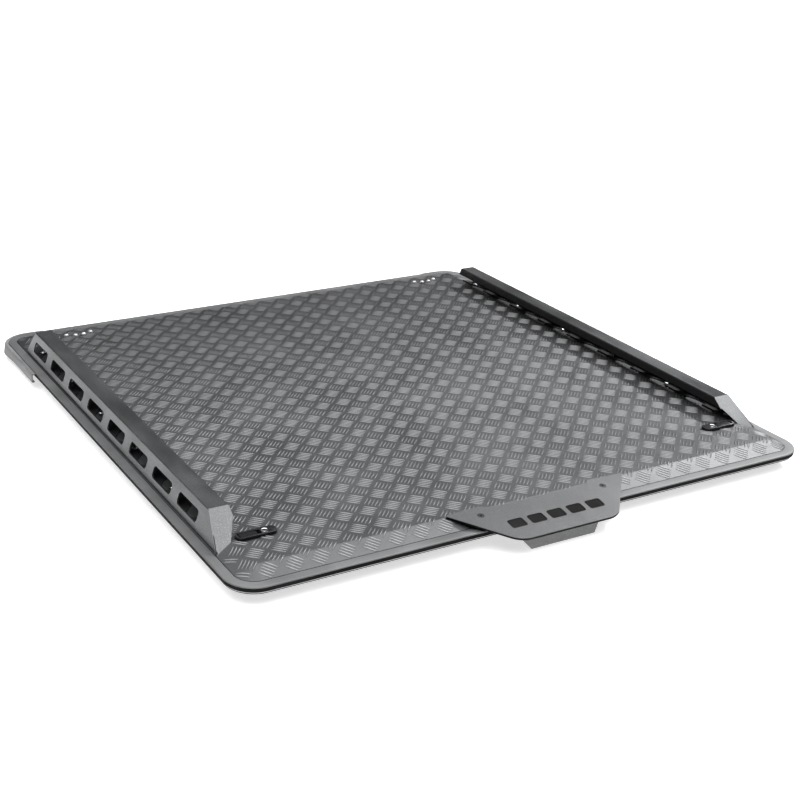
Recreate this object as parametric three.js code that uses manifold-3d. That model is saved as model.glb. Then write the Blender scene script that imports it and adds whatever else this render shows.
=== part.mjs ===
// A hard pickup load-bed lid: five-bar tread sheet on a rounded rim, with two cargo rails, a pull handle,
// two flush paddle locks with key cylinders, and two cab-end hinges.
// Millimetres. +X is the lid's right, +Y points to the cab, +Z is up.
// Every piece is drawn with the tread plateau at z = 0; at the end the lid is lifted onto its own base.
import * as THREE from "three";
import { mergeVertices } from "three/addons/utils/BufferGeometryUtils.js";
import Module from "manifold-3d";

const wasm = await Module();
wasm.setup();

// ---- driving dimensions -------------------------------------------------------------------------
// The step line, where the tread sheet ends and the bare rim begins, is the base outline of the lid.
const BASE_HALF_WIDTH = 736;
const BASE_NEAR = -682;
const BASE_FAR = 822;
const BASE_RADIUS = 45;
const CORNER_STEPS = 6;

const BAND_RUN = 42; // the sloping band between the plateau and the step line, seen from above
const BAND_DROP = 13.5;
const SHEET = 2.5; // tread sheet thickness
const RIM_WIDTH = 24; // from the step line to the outside of the rim
const RIM_TOP = -14;
const GAP = 0.4; // clearance between touching pieces

const RAIL_SHEET = 3;
const RAIL_TOP = 50.4;
const RAIL_LIP_BOTTOM = 29.5;
const RAIL_LIP_X = 669;
const RAIL_TOP_OUTER_X = 715.2;
const RAIL_FOOT_X = 737;
const RAIL_FLANGE_X = 692;
const RAIL_NEAR_TOP = -471;
const RAIL_NEAR_FOOT = -556;
const RAIL_FAR_TOP = 672;
const RAIL_FAR_FOOT = 700;
const RAIL_BOLT_X = 705;
const RAIL_BOLTS = 6;
const RAIL_BOLT_FIRST = -482;
const RAIL_BOLT_PITCH = 225;

const WINDOWS = 8;
const WINDOW_FIRST = -387.4;
const WINDOW_PITCH = 141.2;
const WINDOW_LENGTH = 103;
const WINDOW_BOTTOM = 4.5;
const WINDOW_TOP = 32;
const WINDOW_RADIUS = 9;

const HINGE_X = 573;
const HINGE_BOLT_STEP = 23.6;
const HINGE_BOLT_Y = 737;
const HINGE_BOLT_INNER_Y = 728;
const HINGE_PIN_Y = 750;
const HINGE_PIN_Z = -24;
const HINGE_PIN_RADIUS = 5;
const HINGE_EAR_HALF_GAP = 25;

const LOCK_Y = -531;
const LOCK_INNER_X = 588;
const LOCK_OUTER_X = 681;
const LOCK_WIDTH = 28;
const LOCK_TOP = 7;
const KEY_X = 615;
const KEY_RADIUS = 8;
const LEVER_PIVOT_X = 669;
const LEVER_PIVOT_Z = 2;
const BOLT_TOP = -28;
const BOLT_BOTTOM = -40;

const HANDLE_TOP_BACK = 6; // height of the handle plate's top at its back edge
const HANDLE_BACK = -636;
const HANDLE_FRONT = -770;
const HANDLE_SLOPE = 8.9; // degrees, down towards the near side
const HANDLE_SHEET = 5;
const PULL_BOTTOM = -59;

const BOOT_SIDE_END = 546; // where the corner boot's open sleeve ends along the side
const BOOT_BACK_END = 640;
const BOOT_FLARE = 4; // how far the boot's lower edge stands out near the corner
const BOOT_FLARE_START = 690;
const BOOT_FLARE_RUN = 80;

// ---- materials ----------------------------------------------------------------------------------
function material(color, roughness, metalness) {
  return new THREE.MeshStandardMaterial({ color, roughness, metalness });
}
const treadAluminium = () => material(0x8b8d90, 0.38, 0.9);
const millAluminium = () => material(0x9d9fa2, 0.45, 0.9);
const powderCoat = () => material(0x55585b, 0.75, 0.2);
const blackRubber = () => material(0x17181a, 0.85, 0);
const blackPlastic = () => material(0x1b1c1e, 0.5, 0);
const zincSteel = () => material(0xc9cbcd, 0.3, 1);
const bareSteel = () => material(0x8c8e90, 0.4, 1);
const chromed = () => material(0xdadcde, 0.15, 1);

// ---- solids -------------------------------------------------------------------------------------
function solidOf(geometry) {
  const bare = geometry.clone();
  bare.deleteAttribute("normal");
  bare.deleteAttribute("uv");
  const merged = mergeVertices(bare, 1e-4);
  return new wasm.Manifold(
    new wasm.Mesh({
      numProp: 3,
      vertProperties: merged.attributes.position.array,
      triVerts: new Uint32Array(merged.index.array),
    }),
  );
}

function geometryOf(solid) {
  const mesh = solid.getMesh();
  const geometry = new THREE.BufferGeometry();
  geometry.setAttribute("position", new THREE.BufferAttribute(mesh.vertProperties, 3));
  geometry.setIndex(new THREE.BufferAttribute(mesh.triVerts, 1));
  return geometry;
}

function join(first, ...others) {
  return geometryOf(others.reduce((sum, g) => sum.add(solidOf(g)), solidOf(first)));
}

function cut(first, ...tools) {
  return geometryOf(tools.reduce((rest, g) => rest.subtract(solidOf(g)), solidOf(first)));
}

function common(first, second) {
  return geometryOf(solidOf(first).intersect(solidOf(second)));
}

// The same shape on the other side of the lid's centre plane.
function mirrored(geometry) {
  const copy = mergeVertices(geometry.clone().deleteAttribute("normal").deleteAttribute("uv"), 1e-4);
  copy.scale(-1, 1, 1);
  const index = copy.index.array;
  for (let i = 0; i < index.length; i += 3) [index[i], index[i + 1]] = [index[i + 1], index[i]];
  return copy;
}

function box(x0, x1, y0, y1, z0, z1) {
  return new THREE.BoxGeometry(x1 - x0, y1 - y0, z1 - z0).translate(
    (x0 + x1) / 2,
    (y0 + y1) / 2,
    (z0 + z1) / 2,
  );
}

function cylinderX(radius, x0, x1, y, z, sides = 12) {
  return new THREE.CylinderGeometry(radius, radius, x1 - x0, sides)
    .rotateZ(Math.PI / 2)
    .translate((x0 + x1) / 2, y, z);
}

function cylinderY(radius, y0, y1, x, z, sides = 12) {
  return new THREE.CylinderGeometry(radius, radius, y1 - y0, sides).translate(x, (y0 + y1) / 2, z);
}

function cylinderZ(radius, z0, z1, x, y, sides = 12) {
  return new THREE.CylinderGeometry(radius, radius, z1 - z0, sides)
    .rotateX(Math.PI / 2)
    .translate(x, y, (z0 + z1) / 2);
}

function outline(points) {
  return new THREE.Shape(points.map(([a, b]) => new THREE.Vector2(a, b)));
}

function roundedRect(a0, a1, b0, b1, radius) {
  return new THREE.Shape()
    .moveTo(a0 + radius, b0)
    .lineTo(a1 - radius, b0)
    .absarc(a1 - radius, b0 + radius, radius, -Math.PI / 2, 0, false)
    .lineTo(a1, b1 - radius)
    .absarc(a1 - radius, b1 - radius, radius, 0, Math.PI / 2, false)
    .lineTo(a0 + radius, b1)
    .absarc(a0 + radius, b1 - radius, radius, Math.PI / 2, Math.PI, false)
    .lineTo(a0, b0 + radius)
    .absarc(a0 + radius, b0 + radius, radius, Math.PI, Math.PI * 1.5, false);
}

// A plan outline (x, y) between two heights.
function extrudeZ(shape, z0, z1, curveSegments = 3) {
  return new THREE.ExtrudeGeometry(shape, {
    depth: z1 - z0,
    bevelEnabled: false,
    curveSegments,
  }).translate(0, 0, z0);
}

// A cross-section (x, z) between two stations along Y.
function extrudeY(shape, y0, y1) {
  return new THREE.ExtrudeGeometry(shape, { depth: y1 - y0, bevelEnabled: false })
    .rotateX(Math.PI / 2)
    .translate(0, y1, 0);
}

// A side outline (y, z) between two stations along X.
function extrudeX(shape, x0, x1, curveSegments = 3) {
  return new THREE.ExtrudeGeometry(shape, { depth: x1 - x0, bevelEnabled: false, curveSegments })
    .rotateX(Math.PI / 2)
    .rotateZ(Math.PI / 2)
    .translate(x0, 0, 0);
}

// ---- the lid's outline --------------------------------------------------------------------------
// The rounded rectangle at an outward offset from the step line, counter-clockwise from the near right.
function lidOutline(offset) {
  const radius = BASE_RADIUS + offset;
  const right = BASE_HALF_WIDTH - BASE_RADIUS;
  const near = BASE_NEAR + BASE_RADIUS;
  const far = BASE_FAR - BASE_RADIUS;
  const centres = [
    [right, near, -90],
    [right, far, 0],
    [-right, far, 90],
    [-right, near, 180],
  ];
  return centres.flatMap(([cx, cy, start]) =>
    Array.from({ length: CORNER_STEPS + 1 }, (_, i) => {
      const angle = THREE.MathUtils.degToRad(start + (90 * i) / CORNER_STEPS);
      return [cx + radius * Math.cos(angle), cy + radius * Math.sin(angle)];
    }),
  );
}

// Rings at [offset, height], stitched one to the next. An open stack is closed with a floor and a roof;
// a closed loop runs round the lid like an extrusion bent into a frame.
function rings(profile, closedLoop) {
  const loops = profile.map(([offset, z]) => lidOutline(offset).map(([x, y]) => [x, y, z]));
  const count = loops[0].length;
  const positions = loops.flat(2);
  const index = [];
  const last = closedLoop ? profile.length : profile.length - 1;
  for (let r = 0; r < last; r += 1) {
    const a = r * count;
    const b = ((r + 1) % profile.length) * count;
    for (let i = 0; i < count; i += 1) {
      const j = (i + 1) % count;
      index.push(a + i, a + j, b + j, a + i, b + j, b + i);
    }
  }
  if (!closedLoop) {
    const flat = loops[0].map(([x, y]) => new THREE.Vector2(x, y));
    const top = (profile.length - 1) * count;
    for (const [i, j, k] of THREE.ShapeUtils.triangulateShape(flat, [])) {
      index.push(i, k, j);
      index.push(top + i, top + j, top + k);
    }
  }
  const geometry = new THREE.BufferGeometry();
  geometry.setAttribute("position", new THREE.Float32BufferAttribute(positions, 3));
  geometry.setIndex(index);
  return geometry;
}

// Height of the sheet's upper face at an inward distance from the step line.
function bandHeight(offset) {
  return (-BAND_DROP * Math.min(Math.max(offset + BAND_RUN, 0), BAND_RUN)) / BAND_RUN;
}

const lid = new THREE.Group();
function piece(name, geometry, finish) {
  const mesh = new THREE.Mesh(geometry, finish());
  mesh.name = name;
  lid.add(mesh);
}

function pair(name, geometry, finish) {
  piece(`${name}_right`, geometry, finish);
  piece(`${name}_left`, mirrored(geometry), finish);
}

// ---- rail bolts: axis square to the sloping band ------------------------------------------------
const BAND_ANGLE = Math.atan2(BAND_DROP, BAND_RUN);
const railBoltStations = Array.from(
  { length: RAIL_BOLTS },
  (_, i) => RAIL_BOLT_FIRST + RAIL_BOLT_PITCH * i,
);

function onBand(geometry, y) {
  return geometry
    .clone()
    .rotateY(BAND_ANGLE)
    .translate(RAIL_BOLT_X, y, bandHeight(RAIL_BOLT_X - BASE_HALF_WIDTH));
}

function buttonHead(headRadius, headHeight, shankRadius, shankBottom, underHead) {
  const profile = [
    [0, shankBottom],
    [shankRadius, shankBottom],
    [shankRadius, underHead],
    [headRadius, underHead],
    [headRadius * 0.9, underHead + headHeight * 0.6],
    [headRadius * 0.45, underHead + headHeight],
    [0, underHead + headHeight],
  ];
  return new THREE.LatheGeometry(
    profile.map(([r, z]) => new THREE.Vector2(r, z)),
    8,
  ).rotateX(Math.PI / 2);
}

// ---- tread sheet --------------------------------------------------------------------------------
const hingeBoltSpots = [-1.5, -0.5, 0.5, 1.5].map((step) => [
  HINGE_X + step * HINGE_BOLT_STEP,
  Math.abs(step) > 1 ? HINGE_BOLT_Y : HINGE_BOLT_INNER_Y,
]);
const HANDLE_SCREW = [165, -666];
const SCREW_RADIUS = 3;
const BOLT_RADIUS = 4;

function treadSheet() {
  const blank = rings(
    [
      [-BAND_RUN, -SHEET],
      [0, -BAND_DROP - SHEET],
      [0, -BAND_DROP],
      [-BAND_RUN, 0],
    ],
    false,
  );
  const holes = [];
  const railHole = cylinderZ(BOLT_RADIUS + GAP, -12, 8, 0, 0, 8);
  for (const y of railBoltStations) holes.push(onBand(railHole, y));
  for (const [x, y] of hingeBoltSpots) holes.push(cylinderZ(BOLT_RADIUS + GAP, -6, 4, x, y, 8));
  holes.push(cylinderZ(SCREW_RADIUS + GAP, -20, 4, HANDLE_SCREW[0], HANDLE_SCREW[1], 8));
  holes.push(lockBody(-20, 6, GAP));
  return cut(blank, ...holes, ...holes.map(mirrored));
}

// ---- rim, seals ---------------------------------------------------------------------------------
const RIM_SHEET = 3;
const RIM_BOTTOM = RIM_TOP - RIM_SHEET;
const RIM_ROUNDING = 2.5;
const RIM_FLANGE = -20; // inner end of the flange under the band

function rimFrame() {
  const under = (offset) => bandHeight(offset) - SHEET - GAP;
  const round = [0, 30, 60, 90].map((degrees) => {
    const a = THREE.MathUtils.degToRad(90 - degrees);
    return [
      RIM_WIDTH - RIM_ROUNDING + RIM_ROUNDING * Math.cos(a),
      RIM_TOP - RIM_ROUNDING + RIM_ROUNDING * Math.sin(a),
    ];
  });
  const frame = rings(
    [
      [RIM_FLANGE, under(RIM_FLANGE) - RIM_SHEET],
      [0, under(0) - RIM_SHEET],
      [RIM_SHEET, RIM_BOTTOM],
      [RIM_WIDTH, RIM_BOTTOM],
      ...round.reverse(),
      [GAP, RIM_TOP],
      [GAP, under(0)],
      [RIM_FLANGE, under(RIM_FLANGE)],
    ],
    true,
  );
  const hole = cylinderZ(SCREW_RADIUS + GAP, -40, 10, HANDLE_SCREW[0], HANDLE_SCREW[1], 8);
  return cut(frame, hole, mirrored(hole));
}

function edgeSeal() {
  return rings(
    [
      [6, -25.6],
      [22.5, -25.6],
      [24, -23.5],
      [24, -18.5],
      [23, -17.4],
      [6, -17.4],
    ],
    true,
  );
}

function sealCarrier() {
  return rings(
    [
      [-18, -27.8],
      [23, -27.8],
      [23, -26],
      [-18, -26],
    ],
    true,
  );
}

function tubSeal() {
  return rings(
    [
      [4, -31.5],
      [18, -31.5],
      [21, -30.1],
      [20, -28.2],
      [4, -28.2],
    ],
    true,
  );
}

// ---- underside frame ----------------------------------------------------------------------------
const SIDE_MEMBER_X = [641, 681];
const MEMBER_TOP = -SHEET - GAP;
const MEMBER_BOTTOM = -25;
const crossMemberStations = [-430, -120, 190, 500];

function channel(width, height, wall) {
  const half = width / 2;
  return [
    [-half, -height],
    [-half + wall, -height],
    [-half + wall, -wall],
    [half - wall, -wall],
    [half - wall, -height],
    [half, -height],
    [half, 0],
    [-half, 0],
  ];
}

function crossMember(y) {
  const profile = channel(50, MEMBER_TOP - MEMBER_BOTTOM, 2.5);
  const section = outline(profile.map(([a, z]) => [y + a, MEMBER_TOP + z]));
  const half = SIDE_MEMBER_X[0] - GAP;
  return extrudeX(section, -half, half);
}

function sideMember() {
  const middle = (SIDE_MEMBER_X[0] + SIDE_MEMBER_X[1]) / 2;
  const section = channel(SIDE_MEMBER_X[1] - SIDE_MEMBER_X[0], MEMBER_TOP - MEMBER_BOTTOM, 2.5);
  return extrudeY(outline(section.map(([a, z]) => [middle + a, MEMBER_TOP + z])), -470, 690);
}

// ---- cargo rails --------------------------------------------------------------------------------
function flangeUnderside(x) {
  return (-BAND_DROP * (x - (BASE_HALF_WIDTH - BAND_RUN))) / BAND_RUN + GAP;
}

// A slab of the given thickness whose lower face passes through two (y, z) points, as wide as the rail.
function slantedSlab(y0, z0, y1, z1, side, thickness, reach) {
  const direction = new THREE.Vector2(y1 - y0, z1 - z0).normalize();
  const normal = new THREE.Vector2(-direction.y, direction.x).multiplyScalar(side * thickness);
  const start = new THREE.Vector2(y0, z0).addScaledVector(direction, -reach);
  const end = new THREE.Vector2(y1, z1).addScaledVector(direction, reach);
  const corners = [start, end, end.clone().add(normal), start.clone().add(normal)];
  return extrudeX(new THREE.Shape(corners), 640, 780);
}

function cargoRail() {
  const t = RAIL_SHEET;
  const flangeTop = (x) => flangeUnderside(x) + t * 1.05;
  const lean = (RAIL_TOP_OUTER_X - RAIL_FOOT_X) / (RAIL_TOP - flangeUnderside(RAIL_FOOT_X));
  const innerFoot = RAIL_FOOT_X - t * 1.06;
  const innerTop = RAIL_TOP_OUTER_X - t * 1.06 - lean * t;
  const section = outline([
    [RAIL_FLANGE_X, flangeUnderside(RAIL_FLANGE_X)],
    [RAIL_FOOT_X, flangeUnderside(RAIL_FOOT_X)],
    [RAIL_TOP_OUTER_X, RAIL_TOP],
    [RAIL_LIP_X, RAIL_TOP],
    [RAIL_LIP_X, RAIL_LIP_BOTTOM],
    [RAIL_LIP_X + t, RAIL_LIP_BOTTOM],
    [RAIL_LIP_X + t, RAIL_TOP - t],
    [innerTop, RAIL_TOP - t],
    [innerFoot, flangeTop(innerFoot)],
    [RAIL_FLANGE_X, flangeTop(RAIL_FLANGE_X)],
  ]);
  const foot = flangeUnderside(RAIL_FOOT_X);
  let rail = extrudeY(section, RAIL_NEAR_FOOT - 20, RAIL_FAR_FOOT + 20);
  rail = cut(
    rail,
    slantedSlab(RAIL_NEAR_FOOT, foot, RAIL_NEAR_TOP, RAIL_TOP, 1, 120, 60),
    slantedSlab(RAIL_FAR_FOOT, foot, RAIL_FAR_TOP, RAIL_TOP, -1, 120, 60),
  );
  const endFace = outline([
    [RAIL_FOOT_X, foot],
    [RAIL_TOP_OUTER_X, RAIL_TOP],
    [RAIL_LIP_X, RAIL_TOP],
    [RAIL_LIP_X + 3.8, RAIL_LIP_BOTTOM],
    [695.5, flangeUnderside(695.5)],
  ]);
  const endPlate = common(
    extrudeY(endFace, RAIL_NEAR_FOOT - 20, RAIL_NEAR_TOP + 40),
    slantedSlab(RAIL_NEAR_FOOT, foot, RAIL_NEAR_TOP, RAIL_TOP, -1, t, 20),
  );
  rail = join(rail, endPlate);
  const cuts = [farFootCorner()];
  for (let i = 0; i < WINDOWS; i += 1) {
    const y = WINDOW_FIRST + WINDOW_PITCH * i;
    const half = WINDOW_LENGTH / 2;
    const hole = roundedRect(y - half, y + half, WINDOW_BOTTOM, WINDOW_TOP, WINDOW_RADIUS);
    cuts.push(extrudeX(hole, 700, 760));
    cuts.push(drainScallop(y + 8));
  }
  for (const y of railBoltStations) cuts.push(onBand(cylinderZ(BOLT_RADIUS + GAP, -8, 9, 0, 0, 8), y));
  return cut(rail, ...cuts);
}

// A half-round bite out of the flange's inner edge, one behind each window.
function drainScallop(y) {
  const bite = new THREE.Shape()
    .moveTo(RAIL_FLANGE_X - 5, y - 30)
    .lineTo(RAIL_FLANGE_X + 6, y - 30)
    .quadraticCurveTo(RAIL_FLANGE_X + 30, y - 24, RAIL_FLANGE_X + 30, y)
    .quadraticCurveTo(RAIL_FLANGE_X + 30, y + 24, RAIL_FLANGE_X + 6, y + 30)
    .lineTo(RAIL_FLANGE_X - 5, y + 30);
  return extrudeZ(bite, -16, 5);
}

// The wall's lower corner at the cab end is rounded off.
function farFootCorner() {
  const radius = 20;
  const y = RAIL_FAR_FOOT - radius;
  const z = flangeUnderside(RAIL_FOOT_X) + radius;
  const waste = new THREE.Shape()
    .moveTo(y, z - radius - 5)
    .lineTo(y + 40, z - radius - 5)
    .lineTo(y + 40, z)
    .lineTo(y + radius, z)
    .absarc(y, z, radius, 0, -Math.PI / 2, true);
  return extrudeX(waste, 725, 760);
}

// ---- handle -------------------------------------------------------------------------------------
function handleOutline(inset) {
  const front = HANDLE_FRONT + inset;
  const half = [
    [110, HANDLE_BACK - 12 - inset],
    [126, HANDLE_BACK - 12 - inset],
    [150, HANDLE_BACK - inset],
    [238 - inset * 2.2, HANDLE_BACK - 3 - inset],
    [238 - inset * 1.6, HANDLE_BACK - 8 - inset],
    [146 - inset, front + 19],
    [134 - inset, front + 9],
    [120 - inset, front + 2.2],
    [104 - inset, front],
  ];
  const other = half.map(([x, y]) => [-x, y]).reverse();
  return outline([...other, ...half].reverse());
}

function handleHeight(y) {
  return HANDLE_TOP_BACK + (y - HANDLE_BACK) * Math.tan(THREE.MathUtils.degToRad(HANDLE_SLOPE));
}

function handlePlane(zShiftTop, zShiftBottom) {
  const y0 = HANDLE_FRONT - 30;
  const y1 = HANDLE_BACK + 30;
  return extrudeX(
    outline([
      [y0, handleHeight(y0) + zShiftBottom],
      [y1, handleHeight(y1) + zShiftBottom],
      [y1, handleHeight(y1) + zShiftTop],
      [y0, handleHeight(y0) + zShiftTop],
    ]),
    -260,
    260,
  );
}

function handlePlate() {
  const plate = common(extrudeZ(handleOutline(0), -60, 60), handlePlane(0, -HANDLE_SHEET));
  const hole = cylinderZ(SCREW_RADIUS + GAP, -40, 40, HANDLE_SCREW[0], HANDLE_SCREW[1], 8);
  const sink = screwSink(HANDLE_SCREW);
  return cut(plate, hole, mirrored(hole), sink, mirrored(sink));
}

function screwSink([x, y]) {
  const cone = new THREE.CylinderGeometry(7.6, 3.9, 4, 8).rotateX(Math.PI / 2);
  return cone.translate(x, y, handleHeight(y) - 1.9);
}

function handleScrew() {
  const [x, y] = HANDLE_SCREW;
  const top = handleHeight(y);
  const cone = new THREE.CylinderGeometry(6.6, SCREW_RADIUS, 3, 8).rotateX(Math.PI / 2);
  const head = cone.translate(x, y, top - 1.9);
  const socket = cylinderZ(2.2, top - 2.3, top + 1.7, x, y, 6);
  return cut(join(head, cylinderZ(SCREW_RADIUS, -22, top - 3, x, y, 8)), socket);
}

// Black packing between the handle plate and the sloping sheet edge.
function handleGasket() {
  const backHeight = bandHeight(-BAND_RUN) + GAP;
  const foot = outline([
    [HANDLE_BACK - 6, backHeight],
    [HANDLE_BACK - 6, 60],
    [BASE_NEAR - 17, 60],
    [BASE_NEAR - 17, RIM_TOP + GAP],
    [BASE_NEAR, -BAND_DROP + GAP],
    [BASE_NEAR + BAND_RUN, backHeight],
  ]);
  const block = common(extrudeZ(handleOutline(5), -60, 60), extrudeX(foot, -240, 240));
  const trimmed = common(block, handlePlane(-HANDLE_SHEET - GAP, -60));
  const hole = cylinderZ(SCREW_RADIUS + GAP, -40, 40, HANDLE_SCREW[0], HANDLE_SCREW[1], 8);
  return cut(trimmed, hole, mirrored(hole));
}

// The bent pull behind the plate's front edge: a seat under the plate and a lip for the fingers.
function pullLip() {
  const seatBack = BASE_NEAR - 26;
  const bend = -722;
  const lipFoot = -748;
  const t = 3;
  const top = (y) => handleHeight(y) - HANDLE_SHEET - GAP;
  const side = outline([
    [seatBack, top(seatBack)],
    [seatBack, top(seatBack) - t],
    [bend + 1.5, top(bend) - t],
    [lipFoot + t, PULL_BOTTOM],
    [lipFoot, PULL_BOTTOM],
    [bend - 2.5, top(bend)],
  ]);
  const front = outline([
    [-84, PULL_BOTTOM - 1],
    [84, PULL_BOTTOM - 1],
    [122, -16],
    [122, 10],
    [-122, 10],
    [-122, -16],
  ]);
  return common(extrudeX(side, -130, 130), extrudeY(front, -790, -690));
}

// ---- locks --------------------------------------------------------------------------------------
const LEVER_HALF_WIDTH = 8;
const LEVER_INNER_X = 632;

function lockBody(z0, z1, extra) {
  const half = LOCK_WIDTH / 2 - 3 + extra;
  const x0 = LOCK_INNER_X + 5 - extra;
  const x1 = LOCK_OUTER_X - 4 + extra;
  return extrudeZ(roundedRect(x0, x1, LOCK_Y - half, LOCK_Y + half, 2 + extra), z0, z1);
}

function lockHousing() {
  const half = LOCK_WIDTH / 2;
  const bezel = extrudeZ(
    roundedRect(LOCK_INNER_X, LOCK_OUTER_X, LOCK_Y - half, LOCK_Y + half, 10),
    GAP,
    LOCK_TOP,
  );
  const pocket = extrudeZ(
    roundedRect(
      LEVER_INNER_X - 7,
      LEVER_PIVOT_X + 6.8,
      LOCK_Y - LEVER_HALF_WIDTH - 0.6,
      LOCK_Y + LEVER_HALF_WIDTH + 0.6,
      1,
    ),
    -30,
    30,
  );
  const keyHole = cylinderZ(KEY_RADIUS + GAP, -30, 30, KEY_X, LOCK_Y);
  const pinHole = cylinderY(2 + 0.3, LOCK_Y - 11, LOCK_Y + 11, LEVER_PIVOT_X, LEVER_PIVOT_Z);
  return cut(join(bezel, lockBody(-16, GAP + 1, 0)), pocket, keyHole, pinHole);
}

// Paddle with its finger scoop next to the key, hinged at the outer end; its tail reaches into the bolt.
function lockLever() {
  const half = LEVER_HALF_WIDTH;
  const side = new THREE.Shape()
    .moveTo(LEVER_INNER_X, 3.2)
    .lineTo(LEVER_INNER_X + 9, 1.2)
    .lineTo(LEVER_PIVOT_X - 8, 1.2)
    .lineTo(LEVER_PIVOT_X - 4, -3)
    .lineTo(LEVER_PIVOT_X - 2.5, -8)
    .lineTo(LEVER_PIVOT_X - 2.5, BOLT_TOP - 8)
    .lineTo(LEVER_PIVOT_X + 2.5, BOLT_TOP - 8)
    .lineTo(LEVER_PIVOT_X + 2.5, -6)
    .lineTo(LEVER_PIVOT_X + 4.5, -1)
    .lineTo(LEVER_PIVOT_X + 4.5, 4)
    .lineTo(LEVER_PIVOT_X + 3, 6)
    .lineTo(LEVER_INNER_X + 12, 6)
    .lineTo(LEVER_INNER_X, 5);
  const profile = new THREE.ExtrudeGeometry(side, { depth: 2 * half, bevelEnabled: false })
    .rotateX(Math.PI / 2)
    .translate(0, LOCK_Y + half, 0);
  const slimTail = [-1, 1].map((s) =>
    box(
      LEVER_PIVOT_X - 12,
      LEVER_PIVOT_X + 12,
      s > 0 ? LOCK_Y + 3 : LOCK_Y - half - 1,
      s > 0 ? LOCK_Y + half + 1 : LOCK_Y - 3,
      BOLT_TOP - 12,
      -9,
    ),
  );
  const pinHole = cylinderY(2 + 0.35, LOCK_Y - 20, LOCK_Y + 20, LEVER_PIVOT_X, LEVER_PIVOT_Z);
  return cut(profile, ...slimTail, pinHole);
}

function leverPin() {
  return cylinderY(2, LOCK_Y - 10.6, LOCK_Y + 10.6, LEVER_PIVOT_X, LEVER_PIVOT_Z);
}

// Key cylinder with its slot on top and a small locking tab at the bottom.
function keyCylinder() {
  const barrel = cylinderZ(KEY_RADIUS, -20, LOCK_TOP + 1, KEY_X, LOCK_Y);
  const slot = box(KEY_X - 4.2, KEY_X + 4.2, LOCK_Y - 0.8, LOCK_Y + 0.8, LOCK_TOP - 1, LOCK_TOP + 3);
  const tab = box(KEY_X - 4, KEY_X + 13, LOCK_Y - 4, LOCK_Y + 4, -23, -19.5);
  return cut(join(barrel, tab), slot);
}

const CASE_INNER_X = 636;
const CASE_OUTER_X = 690;

// A square guide under the sheet, hung from two ears, in which the bolt slides.
function latchCase() {
  const sleeve = cut(
    box(CASE_INNER_X, CASE_OUTER_X, LOCK_Y - 16, LOCK_Y + 16, BOLT_BOTTOM - 4, BOLT_TOP + 4),
    box(CASE_INNER_X - 5, CASE_OUTER_X + 5, LOCK_Y - 10, LOCK_Y + 10, BOLT_BOTTOM - GAP, BOLT_TOP + GAP),
    box(LEVER_PIVOT_X - 31, LEVER_PIVOT_X + 9, LOCK_Y - 5, LOCK_Y + 5, BOLT_TOP - 1, BOLT_TOP + 10),
  );
  const ears = [-1, 1].map((s) => {
    const y = LOCK_Y + s * 14.5;
    return box(CASE_INNER_X, CASE_OUTER_X, y - 1.5, y + 1.5, BOLT_TOP + 3, MEMBER_TOP);
  });
  return join(sleeve, ...ears);
}

function latchBolt() {
  const z0 = BOLT_BOTTOM;
  const z1 = BOLT_TOP;
  const nose = 12;
  const end = 704;
  const side = new THREE.Shape()
    .moveTo(CASE_INNER_X + 4, z0)
    .lineTo(end - nose, z0)
    .lineTo(end, z1 - 4)
    .lineTo(end, z1)
    .lineTo(CASE_INNER_X + 4, z1);
  const bar = new THREE.ExtrudeGeometry(side, { depth: 19, bevelEnabled: false })
    .rotateX(Math.PI / 2)
    .translate(0, LOCK_Y + 9.5, 0);
  const slot = box(LEVER_PIVOT_X - 7, LEVER_PIVOT_X + 5, LOCK_Y - 4, LOCK_Y + 4, z0 - 5, z1 + 5);
  return cut(bar, slot);
}

// ---- hinges -------------------------------------------------------------------------------------
function hingePlate() {
  const top = MEMBER_TOP;
  const plate = extrudeZ(roundedRect(HINGE_X - 58, HINGE_X + 58, 705, 772, 8), top - 5, top);
  const ears = [-1, 1].map((s) => {
    const x = HINGE_X + s * (HINGE_EAR_HALF_GAP + 3);
    const ear = new THREE.Shape()
      .moveTo(HINGE_PIN_Y - 14, top - 4)
      .lineTo(HINGE_PIN_Y - 11, HINGE_PIN_Z)
      .absarc(HINGE_PIN_Y, HINGE_PIN_Z, 11, Math.PI, 2 * Math.PI, false)
      .lineTo(HINGE_PIN_Y + 14, top - 4);
    return extrudeX(ear, x - 3, x + 3, 5);
  });
  const holes = hingeBoltSpots.map(([x, y]) => cylinderZ(BOLT_RADIUS + GAP, -20, 5, x, y, 8));
  const pinHole = cylinderX(HINGE_PIN_RADIUS + 0.3, HINGE_X - 40, HINGE_X + 40, HINGE_PIN_Y, HINGE_PIN_Z);
  return cut(join(plate, ...ears), pinHole, ...holes);
}

function hingePin() {
  const half = HINGE_EAR_HALF_GAP + 9;
  const shank = cylinderX(HINGE_PIN_RADIUS, HINGE_X - half, HINGE_X + half, HINGE_PIN_Y, HINGE_PIN_Z);
  const head = cylinderX(8, HINGE_X + half - 2.4, HINGE_X + half + 1, HINGE_PIN_Y, HINGE_PIN_Z);
  return join(shank, head);
}

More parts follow.
